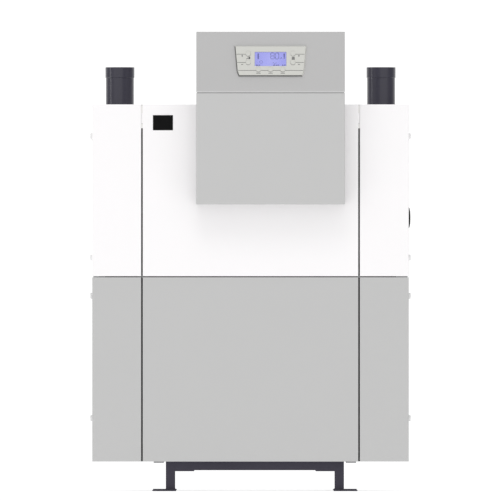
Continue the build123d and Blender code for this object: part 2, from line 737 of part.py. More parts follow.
def fan_housing():
    """Right-hand fan's scroll housing, open at its inlet, its shaft hole and its outlet."""
    housing = prism_y(scroll_face(0, OUTLET_DROP), FAN_FRONT, FAN_BACK)
    housing -= prism_y(scroll_face(FAN_WALL, OUTLET_DROP + 1), FAN_FRONT + FAN_WALL, FAN_BACK - FAN_WALL)
    housing -= rod_y(FAN_INLET_RADIUS, FAN_X, (FAN_FRONT - 1, FAN_FRONT + 2 * FAN_WALL), FAN_Z)
    return housing - rod_y(SHAFT_HOLE_RADIUS, FAN_X, (FAN_BACK - 2 * FAN_WALL, FAN_BACK + 1), FAN_Z)


def impeller_blade():
    """One backward-curved blade, drawn about the impeller's middle."""
    def polar(radius, degrees):
        angle = math.radians(degrees)
        return radius * math.cos(angle), radius * math.sin(angle)

    middle = (BLADE_ROOT_RADIUS + IMPELLER_RADIUS) / 2
    bow = BLADE_SWEEP * BLADE_BOW
    lead = ThreePointArc(
        polar(BLADE_ROOT_RADIUS, 0), polar(middle, -bow), polar(IMPELLER_RADIUS, -BLADE_SWEEP)
    )
    radii = (BLADE_ROOT_RADIUS, middle, IMPELLER_RADIUS)
    turns = [math.degrees(BLADE_THICKNESS / radius) for radius in radii]
    trail = ThreePointArc(
        polar(IMPELLER_RADIUS, turns[2] - BLADE_SWEEP),
        polar(middle, BLADE_SWELL * turns[1] - bow),
        polar(BLADE_ROOT_RADIUS, BLADE_SWELL * turns[0]),
    )
    return make_face([lead, Line(lead @ 1, trail @ 0), trail, Line(trail @ 1, lead @ 0)])


def fan_impeller():
    """Right-hand impeller with its hub and shaft."""
    plate_back = FAN_BACK - FAN_WALL - IMPELLER_GAP
    plate_front = plate_back - IMPELLER_PLATE
    shroud_front = FAN_FRONT + FAN_WALL + IMPELLER_GAP
    shroud_back = shroud_front + IMPELLER_PLATE
    wheel = rod_y(IMPELLER_RADIUS, FAN_X, (plate_front, plate_back), FAN_Z)
    for index in range(BLADE_COUNT):
        blade = Rot(0, 0, index * 360 / BLADE_COUNT) * impeller_blade()
        wheel += prism_y(Pos(FAN_X, FAN_Z) * blade, shroud_back, plate_front)
    shroud = rod_y(IMPELLER_RADIUS, FAN_X, (shroud_front, shroud_back), FAN_Z)
    wheel += shroud - rod_y(IMPELLER_EYE_RADIUS, FAN_X, (shroud_front - 1, shroud_back + 1), FAN_Z)
    hub_front = (plate_front + shroud_back) / 2
    wheel += rod_y(HUB_RADIUS, FAN_X, (hub_front, plate_front), FAN_Z)
    shaft_end = FAN_BACK + MOTOR_BORE_DEPTH - 1
    wheel += rod_y(SHAFT_RADIUS, FAN_X, (plate_back, shaft_end), FAN_Z)
    return wheel


def fan_motor():
    """Right-hand fan motor, bored for the impeller's shaft."""
    motor = rod_y(MOTOR_RADIUS, FAN_X, (FAN_BACK, FAN_BACK + MOTOR_LENGTH), FAN_Z)
    bore_y = (FAN_BACK - 1, FAN_BACK + MOTOR_BORE_DEPTH)
    return motor - rod_y(SHAFT_RADIUS + RUNNING_GAP, FAN_X, bore_y, FAN_Z)


def air_mixer():
    """Right-hand air and gas mixer in front of the fan's inlet."""
    front = FAN_FRONT - MIXER_LENGTH
    bore = MIXER_RADIUS - MIXER_WALL
    profile = (
        (bore, FAN_FRONT),
        (MIXER_FLANGE_RADIUS, FAN_FRONT),
        (MIXER_FLANGE_RADIUS, FAN_FRONT - MIXER_FLANGE),
        (MIXER_RADIUS, FAN_FRONT - MIXER_FLANGE),
        (MIXER_RADIUS, front),
        (bore, front),
    )
    return turned_y(profile, FAN_X, FAN_Z)


def gas_valve():
    """Right-hand gas valve under the mixer, with its two solenoid coils in front."""
    y_span = (VALVE_Y - VALVE_DEPTH / 2, VALVE_Y + VALVE_DEPTH / 2)
    x_span = (FAN_X - VALVE_HALF_WIDTH, FAN_X + VALVE_HALF_WIDTH)
    body = block(x_span, y_span, (VALVE_BOTTOM, FAN_Z - MIXER_RADIUS / 2))
    body -= rod_y(MIXER_RADIUS, FAN_X, (y_span[0] - 1, y_span[1] + 1), FAN_Z)
    middle = (VALVE_BOTTOM + FAN_Z - MIXER_RADIUS) / 2
    coil_front = y_span[0] - COIL_LENGTH
    for offset in (-COIL_SPACING / 2, COIL_SPACING / 2):
        body += rod_y(COIL_RADIUS, FAN_X, (coil_front, y_span[0]), middle + offset)
    return body


def saddles():
    """Two cradles under the right-hand exchanger, one on each shelf rail."""
    pair = []
    for y in (SHELF_FRONT_Y, SHELF_BACK_Y):
        x_span = (ENGINE_X - SADDLE_WIDTH / 2, ENGINE_X + SADDLE_WIDTH / 2)
        cradle = block(x_span, (y - POST / 2, y + POST / 2), (SHELF_Z, SHELF_Z + SADDLE_HEIGHT))
        pair.append(cradle - rod_y(SHELL_RADIUS + FIT_GAP, ENGINE_X, (y - POST, y + POST), ENGINE_Z))
    return pair


def burner_tube():
    """Right-hand burner, a closed tube that reaches into the exchanger from its door."""
    back = SHELL_FRONT + BURNER_LENGTH
    outside = rod_y(BURNER_RADIUS, ENGINE_X, (SHELL_FRONT, back), ENGINE_Z)
    inside_y = (SHELL_FRONT - 1, back - 2 * BURNER_WALL)
    return outside - rod_y(BURNER_RADIUS - BURNER_WALL, ENGINE_X, inside_y, ENGINE_Z)


def make_heat_engines():
    """Both heat engines: exchanger, burner, fan, mixer and gas valve."""
    for name, maker in (
        ("exchanger_shell", exchanger_shell),
        ("burner_door", burner_door),
        ("fan_housing", fan_housing),
        ("fan_impeller", fan_impeller),
    ):
        right, left = both_sides(maker())
        save(f"{name}_right", right)
        save(f"{name}_left", left)
    for name, maker in (
        ("burner_tubes", burner_tube),
        ("fan_motors", fan_motor),
        ("air_mixers", air_mixer),
        ("gas_valves", gas_valve),
    ):
        save(name, *both_sides(maker()))
    save("door_nuts", *[copy for nut in door_nuts() for copy in both_sides(nut)])
    save("exchanger_saddles", *[copy for saddle in saddles() for copy in both_sides(saddle)])


def mitred_run(points, radius):
    """A round bar along straight runs that meet in mitres."""
    path = Polyline(*points)
    section = Plane(origin=path @ 0, z_dir=path % 0) * Circle(radius)
    return sweep(section, path=path, transition=Transition.RIGHT)


def flue_elbow():
    """Right-hand condensate sump and elbow, from the exchanger's underside to the flue pipe."""
    inner_top = ENGINE_Z - SHELL_RADIUS / 2
    socket_low = SUMP_TOP - SOCKET_DEPTH

    def run(low_x, high_x, start, end):
        return [
            (low_x, FLUE_Y, start),
            (low_x, FLUE_Y, SUMP_Z + SUMP_BEND),
            (low_x + SUMP_BEND, FLUE_Y, SUMP_Z),
            (high_x - SUMP_BEND, FLUE_Y, SUMP_Z),
            (high_x, FLUE_Y, SUMP_Z + SUMP_BEND),
            (high_x, FLUE_Y, end),
        ]

    elbow = mitred_run(run(ENGINE_X, FLUE_X, inner_top, socket_low), FLUE_RADIUS)
    elbow += rod_z(SOCKET_RADIUS, FLUE_X, FLUE_Y, (socket_low, SUMP_TOP))
    elbow -= mitred_run(run(ENGINE_X, FLUE_X, inner_top + 1, socket_low + 1), PIPE_BORE)
    elbow -= rod_z(SOCKET_BORE, FLUE_X, FLUE_Y, (socket_low + FLUE_WALL, SUMP_TOP + 1))
    return elbow - rod_y(SHELL_RADIUS, ENGINE_X, (SHELL_FRONT, SHELL_BACK), ENGINE_Z)


def flue_pipe():
    """Right-hand flue pipe with a bell socket at its top."""
    low = SUMP_TOP - SOCKET_DEPTH + FLUE_WALL + FIT_GAP
    socket_low = FLUE_TOP - SOCKET_DEPTH
    profile = (
        (PIPE_BORE, low),
        (FLUE_RADIUS, low),
        (FLUE_RADIUS, socket_low - FLUE_WALL),
        (SOCKET_RADIUS, socket_low),
        (SOCKET_RADIUS, FLUE_TOP),
        (SOCKET_BORE, FLUE_TOP),
        (SOCKET_BORE, socket_low + SEAL_HEIGHT),
        (SOCKET_BORE + SEAL_GROOVE, socket_low + SEAL_HEIGHT),
        (SOCKET_BORE + SEAL_GROOVE, socket_low),
        (PIPE_BORE, socket_low),
    )
    return turned_z(profile, FLUE_X, FLUE_Y)


def ring_z(inner, outer, x, y, z_span):
    """A flat ring about an upright axis."""
    return rod_z(outer, x, y, z_span) - rod_z(inner, x, y, (min(z_span) - 1, max(z_span) + 1))


def make_flues():
    """Flue way of both engines, with the seals and the collars in the top cover."""
    right, left = both_sides(flue_pipe())
    save("flue_pipe_right", right)
    save("flue_pipe_left", left)
    save("flue_elbows", *both_sides(flue_elbow()))
    socket_low = FLUE_TOP - SOCKET_DEPTH
    groove = SOCKET_BORE + SEAL_GROOVE
    seal = ring_z(PIPE_BORE, groove, FLUE_X, FLUE_Y, (socket_low, socket_low + SEAL_HEIGHT))
    save("socket_seals", *both_sides(seal))
    collar_top = CASING_TOP + COLLAR_TOP_RISE
    bore = FLUE_RADIUS + FIT_GAP
    collar = ring_z(bore, bore + COLLAR_WALL, FLUE_X, FLUE_Y, (collar_top - COLLAR_HEIGHT, collar_top))
    save("flue_collars", *both_sides(collar))


def stub(pipe_radius, end_radius, x, z, start_y, end_length, wall):
    """Pipe out through the back with a slimmer end to join on to, and the bore through both."""
    step_y = STUB_END_Y - end_length
    pipe = rod_y(pipe_radius, x, (start_y, step_y), z) + rod_y(end_radius, x, (step_y, STUB_END_Y), z)
    return pipe, rod_y(end_radius - wall, x, (start_y, STUB_END_Y + 1), z)


def water_manifold(z):
    """Hollow header across both exchangers with a threaded stub through the back."""
    half = ENGINE_X + HEADER_OVERHANG
    pipe, bore = stub(
        WATER_PIPE_RADIUS, WATER_THREAD_RADIUS, 0, z, WATER_HEADER_Y, WATER_THREAD_LENGTH, PIPE_WALL
    )
    outside = rod_x(WATER_HEADER_RADIUS, (-half, half), WATER_HEADER_Y, z) + pipe
    inner_half = half - PIPE_WALL
    inside = rod_x(WATER_HEADER_RADIUS - PIPE_WALL, (-inner_half, inner_half), WATER_HEADER_Y, z) + bore
    branch_front = SHELL_BACK - SHELL_WALL
    for x in (-ENGINE_X, ENGINE_X):
        outside += rod_y(WATER_BRANCH_RADIUS, x, (branch_front, WATER_HEADER_Y), z)
        inside += rod_y(WATER_BRANCH_RADIUS - PIPE_WALL, x, (branch_front - 1, WATER_HEADER_Y), z)
    return outside - inside


def make_pipes():
    """Water, gas and condensate pipework inside the casing."""
    save("supply_manifold", water_manifold(SUPPLY_Z))
    valve_top = DRAIN_Z + DRAIN_BODY_HEIGHT / 2
    header_floor = RETURN_Z - WATER_HEADER_RADIUS + PIPE_WALL / 2
    down = rod_z(DRAIN_PIPE_RADIUS, DRAIN_X, WATER_HEADER_Y, (valve_top, header_floor))
    save("return_manifold", water_manifold(RETURN_Z) + down)

    half = FAN_X + HEADER_OVERHANG
    pipe, bore = stub(
        GAS_PIPE_RADIUS, GAS_THREAD_RADIUS, 0, GAS_Z, VALVE_Y, GAS_THREAD_LENGTH, PIPE_WALL
    )
    gas = rod_x(GAS_HEADER_RADIUS, (-half, half), VALVE_Y, GAS_Z) + pipe
    inner_half = half - PIPE_WALL
    passage = rod_x(GAS_HEADER_RADIUS - PIPE_WALL, (-inner_half, inner_half), VALVE_Y, GAS_Z) + bore
    for x in (-FAN_X, FAN_X):
        gas += rod_z(GAS_RISER_RADIUS, x, VALVE_Y, (GAS_Z, VALVE_BOTTOM))
        passage += rod_z(GAS_RISER_RADIUS - PIPE_WALL, x, VALVE_Y, (GAS_Z, VALVE_BOTTOM + 1))
    save("gas_manifold", gas - passage)

    trap = rod_z(TRAP_RADIUS, TRAP_X, FLUE_Y, (TRAP_LOW, TRAP_LOW + TRAP_HEIGHT))
    trap += rod_z(TRAP_PIPE_RADIUS, TRAP_X, FLUE_Y, (TRAP_LOW + TRAP_HEIGHT, SUMP_Z))
    trap -= rod_x(FLUE_RADIUS, (TRAP_X - TRAP_RADIUS, TRAP_X + TRAP_RADIUS), FLUE_Y, SUMP_Z)
    save("condensate_traps", *both_sides(trap))

    half = TRAP_X + TRAP_RADIUS
    outlet, bore = stub(
        CONDENSATE_PIPE_RADIUS, CONDENSATE_SPIGOT_RADIUS, CONDENSATE_STUB_X, CONDENSATE_Z, CONDENSATE_Y,
        CONDENSATE_SPIGOT_LENGTH, CONDENSATE_WALL,
    )
    pipe = rod_x(CONDENSATE_HEADER_RADIUS, (-half, half), CONDENSATE_Y, CONDENSATE_Z) + outlet
    for x in (-TRAP_X, TRAP_X):
        pipe += rod_y(TRAP_PIPE_RADIUS, x, (FLUE_Y, CONDENSATE_Y), CONDENSATE_Z)
    inner_half = half - CONDENSATE_WALL
    pipe -= rod_x(CONDENSATE_HEADER_RADIUS - CONDENSATE_WALL, (-inner_half, inner_half), CONDENSATE_Y,
                  CONDENSATE_Z) + bore
    for x in (-TRAP_X, TRAP_X):
        pipe -= rod_z(TRAP_RADIUS, x, FLUE_Y, (TRAP_LOW, TRAP_LOW + TRAP_HEIGHT))
    save("condensate_pipe", pipe)

    body = rod_z(DRAIN_BODY_RADIUS, DRAIN_X, WATER_HEADER_Y, (DRAIN_Z - DRAIN_BODY_HEIGHT / 2, valve_top))
    body += rod_z(DRAIN_PIPE_RADIUS, DRAIN_X, WATER_HEADER_Y, (DRAIN_Z - DRAIN_BODY_HEIGHT, DRAIN_Z))
    neck_front = WATER_HEADER_Y - DRAIN_BODY_RADIUS - DRAIN_NECK
    body += rod_y(DRAIN_SPINDLE_RADIUS, DRAIN_X, (neck_front, WATER_HEADER_Y), DRAIN_Z)
    save("drain_cock", body)

    lever_back = neck_front + LEVER_THICKNESS
    lever = block((DRAIN_X - LEVER_WIDTH / 2, DRAIN_X + LEVER_WIDTH / 2), (neck_front, lever_back),
                  (DRAIN_Z - LEVER_WIDTH / 2, DRAIN_Z + LEVER_LENGTH))
    lever = fillet(lever.edges().filter_by(Axis.Y), LEVER_WIDTH / 3)
    lever -= rod_y(DRAIN_SPINDLE_RADIUS + RUNNING_GAP, DRAIN_X, (neck_front - 1, lever_back + 1), DRAIN_Z)
    save("drain_lever", lever)


def box_hood(profile, lip_z):
    """Sheet-metal hood of the control box: a closed prism, open behind, with a narrow lip at the seam."""
    x_span = (BOX_X - BOX_WIDTH / 2, BOX_X + BOX_WIDTH / 2)
    solid = prism_x(profile, x_span)
    hood = offset(solid, amount=-SHEET, openings=solid.faces().sort_by(Axis.Y)[-1])
    inner_x = (x_span[0] + SHEET, x_span[1] - SHEET)
    hood -= block(inner_x, (BOX_FRONT + BOX_LIP, FRONT + 1), lip_z)
    front_edges = [
        edge
        for edge in hood.edges()
        if not edge.is_closed
        and edge.length > BOX_LIP * 2
        and edge.center().Y < FRONT - 2 * BOX_TRAY_DEPTH
        and touches_outline(edge, profile)
    ]
    return fillet(front_edges, BOX_BEND)


def touches_outline(edge, profile):
    """Whether an edge runs along the outside of the hood's front."""
    def on_front(point):
        for (y1, z1), (y2, z2) in zip(profile, profile[1:]):
            run, rise = y2 - y1, z2 - z1
            share = ((point.Y - y1) * run + (point.Z - z1) * rise) / (run**2 + rise**2)
            away = math.hypot(point.Y - y1 - share * run, point.Z - z1 - share * rise)
            if away < TOUCH and abs(rise) > abs(run):
                return True
        return False

    ends = (edge @ 0, edge @ 1)
    return all(on_front(point) for point in ends)


def make_control_box():
    """Control box on the casing's front: wall tray, leaning fascia, flat cover and control board."""
    rear = FRONT - COVER_BACK_GAP
    cover_top = BOX_SEAM_Z - BOX_SEAM_GAP / 2
    cover_profile = ((rear, BOX_BOTTOM), (BOX_FRONT, BOX_BOTTOM), (BOX_FRONT, cover_top), (rear, cover_top))
    save("box_cover", box_hood(cover_profile, (cover_top - SHEET - 1, cover_top + 1)))

    top_y = BOX_FRONT + (BOX_TOP - FASCIA_FOOT) * math.tan(LEAN)
    fascia_profile = ((rear, FASCIA_FOOT), (BOX_FRONT, FASCIA_FOOT), (top_y, BOX_TOP), (rear, BOX_TOP))
    fascia = box_hood(fascia_profile, (FASCIA_FOOT - 1, FASCIA_FOOT + SHEET + 1))
    cutout_v = (CUTOUT_LOW_V + CUTOUT_HIGH_V) / 2
    cutout = Pos(0, cutout_v, 0) * Box(2 * CUTOUT_HALF_WIDTH, CUTOUT_HIGH_V - CUTOUT_LOW_V, 4 * SHEET)
    save("box_fascia", fascia - on_panel(cutout))

    inset = SHEET + FIT_GAP
    half = BOX_WIDTH / 2 - inset
    x_span = (BOX_X - half, BOX_X + half)
    z_span = (BOX_BOTTOM + inset, BOX_TOP - inset)
    tray = block(x_span, (FRONT - BOX_TRAY_DEPTH, FRONT), z_span)
    tray -= block((x_span[0] + SHEET, x_span[1] - SHEET), (FRONT - BOX_TRAY_DEPTH - 1, FRONT - SHEET),
                  (z_span[0] + SHEET, z_span[1] - SHEET))
    save("box_shell", tray)

    face = FRONT - SHEET - BOARD_STANDOFF
    board_top = BOARD_LOW_Z + BOARD_HEIGHT
    half = BOARD_WIDTH / 2
    board = block((BOX_X - half, BOX_X + half), (face - BOARD_THICKNESS, face), (BOARD_LOW_Z, board_top))
    front = face - BOARD_THICKNESS
    foot = BOARD_FOOT_HALF
    reach = half - BOARD_FOOT_INSET
    for x in (BOX_X - reach, BOX_X + reach):
        for z in (BOARD_LOW_Z + BOARD_FOOT_INSET, board_top - BOARD_FOOT_INSET):
            board += block((x - foot, x + foot), (face, FRONT - SHEET), (z - foot, z + foot))
    for x, z, width, height, depth in BOARD_PARTS:
        left = BOX_X + x - width / 2
        low = BOARD_LOW_Z + z - height / 2
        board += block((left, left + width), (front - depth, front), (low, low + height))
    save("control_board", board)


def button_places():
    """Name and place of each button in the control panel's plane."""
    places = []
    for side, sign in (("left", -1), ("right", 1)):
        for level, v in zip(("upper", "lower"), BUTTON_SIDE_V):
            places.append((f"button_{side}_{level}", sign * BUTTON_SIDE_U, v))
    for index, sign in enumerate((-1, 0, 1), start=1):
        places.append((f"button_row_{index}", sign * BUTTON_ROW_U, BUTTON_ROW_V))
    return places


def bezel_outline(inset):
    """Outline of the control panel's bezel, narrower towards its foot."""
    top = BEZEL_HALF_HEIGHT - inset
    right = [
        (BEZEL_FOOT_HALF - inset, -top),
        (BEZEL_LOW_HALF - inset, BEZEL_LOW_V),
        (BEZEL_TOP_HALF - inset, top),
    ]
    left = [(-u, v) for u, v in reversed(right)]
    return make_face(Polyline(*right, *left, close=True))


def level_disc(radius, u, v, low, high):
    """A disc that stands out of the control panel's plane between two heights."""
    return Pos(u, v, (low + high) / 2) * Cylinder(radius, high - low)


def make_control_panel():
    """Bezel, window, display and buttons on the fascia."""
    skin_back = BEZEL_HEIGHT - BEZEL_WALL
    bezel = extrude(bezel_outline(0), amount=BEZEL_HEIGHT, taper=BEZEL_TAPER)
    bezel -= extrude(bezel_outline(BEZEL_WALL), amount=skin_back, taper=BEZEL_TAPER)
    window_v = (WINDOW_V - WINDOW_HEIGHT / 2, WINDOW_V + WINDOW_HEIGHT / 2)
    window_u = (-WINDOW_WIDTH / 2, WINDOW_WIDTH / 2)
    bezel -= block(window_u, window_v, (skin_back - 1, BEZEL_HEIGHT + 1))
    groove = BEZEL_HEIGHT - GROOVE_DEPTH
    grooves = [(-BEZEL_TOP_HALF, -BUTTON_SIDE_U, v) for v in GROOVE_SIDE_V]
    grooves += [(BUTTON_SIDE_U, BEZEL_TOP_HALF, v) for v in GROOVE_SIDE_V]
    grooves.append((-BEZEL_TOP_HALF, BEZEL_TOP_HALF, GROOVE_ROW_V))
    for start, end, v in grooves:
        v_span = (v - GROOVE_WIDTH / 2, v + GROOVE_WIDTH / 2)
        bezel -= block((start, end), v_span, (groove, BEZEL_HEIGHT + 1))
    for _, u, v in button_places():
        bezel -= level_disc(BUTTON_RADIUS + FIT_GAP, u, v, skin_back - 1, BEZEL_HEIGHT + 1)
    half = BEZEL_BOSS_HALF
    for u, v in BEZEL_BOSSES:
        bezel += block((u - half, u + half), (v - half, v + half), (-PANEL_BOARD_DEPTH, skin_back))
    save("panel_bezel", on_panel(bezel))

    window_front = skin_back + WINDOW_THICKNESS
    shrink_u = (window_u[0] + FIT_GAP, window_u[1] - FIT_GAP)
    shrink_v = (window_v[0] + FIT_GAP, window_v[1] - FIT_GAP)
    save("display_window", on_panel(block(shrink_u, shrink_v, (skin_back, window_front))))

    board_front = -PANEL_BOARD_DEPTH
    board_u = (FIT_GAP - CUTOUT_HALF_WIDTH, CUTOUT_HALF_WIDTH - FIT_GAP)
    board_v = (CUTOUT_LOW_V + FIT_GAP, CUTOUT_HIGH_V - FIT_GAP)
    module = block(board_u, board_v, (board_front - BOARD_THICKNESS, board_front))
    display_v = (WINDOW_V - DISPLAY_HEIGHT / 2, WINDOW_V + DISPLAY_HEIGHT / 2)
    display_u = (-DISPLAY_WIDTH / 2, DISPLAY_WIDTH / 2)
    module += block(display_u, display_v, (board_front, skin_back - FIT_GAP))
    half = SWITCH_HALF
    switch_w = (board_front, BUTTON_STEM_END - BUTTON_TRAVEL - FIT_GAP)
    for _, u, v in button_places():
        module += block((u - half, u + half), (v - half, v + half), switch_w)
    save("display_module", on_panel(module))

    collar_top = skin_back - FIT_GAP
    collar_low = collar_top - BUTTON_COLLAR_THICKNESS
    for name, u, v in button_places():
        button = level_disc(BUTTON_RADIUS, u, v, collar_low, BEZEL_HEIGHT + BUTTON_PROUD)
        button += level_disc(BUTTON_RADIUS + BUTTON_COLLAR, u, v, collar_low, collar_top)
        button += level_disc(BUTTON_STEM_RADIUS, u, v, BUTTON_STEM_END, collar_low)
        save(name, on_panel(button))


os.makedirs("parts", exist_ok=True)
make_stand()
make_base()
make_frame()
make_panels()
make_casing_fittings()
make_heat_engines()
make_flues()
make_pipes()
make_control_box()
make_control_panel()
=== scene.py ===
import json
import logging
import math
from dataclasses import dataclass, field
from enum import Enum

import bmesh
import bpy
from mathutils import Matrix, Vector

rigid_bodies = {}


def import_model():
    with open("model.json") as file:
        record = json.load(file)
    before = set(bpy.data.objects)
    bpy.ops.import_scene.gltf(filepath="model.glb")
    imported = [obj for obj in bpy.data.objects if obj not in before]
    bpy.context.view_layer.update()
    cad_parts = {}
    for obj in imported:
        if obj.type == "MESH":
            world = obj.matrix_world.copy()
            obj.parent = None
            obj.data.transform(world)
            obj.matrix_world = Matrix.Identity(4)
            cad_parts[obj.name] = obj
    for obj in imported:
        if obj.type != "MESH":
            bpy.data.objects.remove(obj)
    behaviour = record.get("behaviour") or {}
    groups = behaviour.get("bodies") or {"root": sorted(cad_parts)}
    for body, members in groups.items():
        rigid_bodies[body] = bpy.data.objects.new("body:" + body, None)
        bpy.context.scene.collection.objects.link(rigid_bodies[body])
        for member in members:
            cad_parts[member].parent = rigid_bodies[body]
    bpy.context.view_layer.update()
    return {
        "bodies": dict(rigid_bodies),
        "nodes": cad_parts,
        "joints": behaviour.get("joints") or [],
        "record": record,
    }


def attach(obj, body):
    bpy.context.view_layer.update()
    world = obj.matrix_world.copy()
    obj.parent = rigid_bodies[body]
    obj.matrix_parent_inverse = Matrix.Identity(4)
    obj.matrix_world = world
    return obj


Colour = tuple[float, float, float]
Place = tuple[float, float, float]
Point = tuple[float, float]
Span = tuple[float, float]
Outline = list[Point]
Socket = bpy.types.NodeSocket
Mesh = bmesh.types.BMesh

LOG = logging.getLogger("boiler")
MM = 0.001
WHITE: Colour = (1.0, 1.0, 1.0)


@dataclass(frozen=True)
class Pattern:
    """A noise laid out on an object: its cells per metre, its octaves and its stretch."""

    scale: float
    detail: float
    stretch: Place = (1.0, 1.0, 1.0)


class Grain(Enum):
    """Fine surface textures that a finish can have, each with its noise."""

    SMOOTH = Pattern(60.0, 2.0)
    POWDER = Pattern(520.0, 3.0)
    SPARK = Pattern(1500.0, 4.0)
    BRUSHED = Pattern(60.0, 4.0, (1.0, 14.0, 14.0))
    SPANGLE = Pattern(70.0, 2.0)
    CAST = Pattern(380.0, 5.0)
    BOARD = Pattern(300.0, 2.0)


@dataclass(frozen=True)
class NodeBench:
    """Short ways to lay out the shader nodes of one material or sky."""

    tree: bpy.types.NodeTree

    def add(self, kind: str) -> bpy.types.Node:
        """Adds a node of one kind."""
        return self.tree.nodes.new(kind)

    def join(self, source: Socket, target: Socket) -> None:
        """Links one socket to another."""
        self.tree.links.new(source, target)

    def place(self) -> Socket:
        """Gives the place on the object, in its own metres."""
        return self.add("ShaderNodeTexCoord").outputs["Object"]

    def noise(self, place: Socket, pattern: Pattern) -> Socket:
        """Adds a noise.

        Args:
            place: The socket that gives the place on the object.
            pattern: How the noise is laid out there.

        Returns:
            The noise's value socket.
        """
        mapping = self.add("ShaderNodeMapping")
        mapping.inputs["Scale"].default_value = pattern.stretch
        self.join(place, mapping.inputs["Vector"])
        noise = self.add("ShaderNodeTexNoise")
        noise.inputs["Scale"].default_value = pattern.scale
        noise.inputs["Detail"].default_value = pattern.detail
        self.join(mapping.outputs["Vector"], noise.inputs["Vector"])
        return noise.outputs["Fac"]

    def ramp(self, source: Socket, low: Span, high: Span, smooth: bool = False) -> Socket:
        """Maps a value from one span to another.

        Args:
            source: The socket to map.
            low: Input and output at the low end.
            high: Input and output at the high end.
            smooth: Whether the change eases in and out.

        Returns:
            The mapped socket.
        """
        node = self.add("ShaderNodeMapRange")
        if smooth:
            node.interpolation_type = "SMOOTHSTEP"
        node.inputs["From Min"].default_value, node.inputs["To Min"].default_value = low
        node.inputs["From Max"].default_value, node.inputs["To Max"].default_value = high
        self.join(source, node.inputs["Value"])
        return node.outputs["Result"]

    def blend(self, share: Socket, first: Colour | Socket, second: Colour) -> Socket:
        """Mixes two colours.

        Args:
            share: The second colour's share.
            first: The other colour, or the socket that gives it.
            second: The second colour.

        Returns:
            The mixed colour's socket.
        """
        mix = self.add("ShaderNodeMix")
        mix.data_type = "RGBA"
        if isinstance(first, tuple):
            mix.inputs["A"].default_value = (*first, 1)
        else:
            self.join(first, mix.inputs["A"])
        mix.inputs["B"].default_value = (*second, 1)
        self.join(share, mix.inputs["Factor"])
        return mix.outputs["Result"]


@dataclass(frozen=True)
class Surface:
    """What a piece can wear: one named material, made of shader nodes alone."""

    name: str

    def material(self) -> bpy.types.Material:
        """Builds this surface's material, or finds it if it has been built.

        Returns:
            The one material of this name.
        """
        name = f"finish_{self.name}"
        found = bpy.data.materials.get(name)
        if found:
            return found
        material = bpy.data.materials.new(name)
        material.use_nodes = True
        tree = material.node_tree
        self.shade(NodeBench(tree), tree.nodes["Principled BSDF"])
        return material

    def shade(self, bench: NodeBench, shader: bpy.types.Node) -> None:
        """Sets up the shader, each kind of surface in its own way."""
        raise NotImplementedError


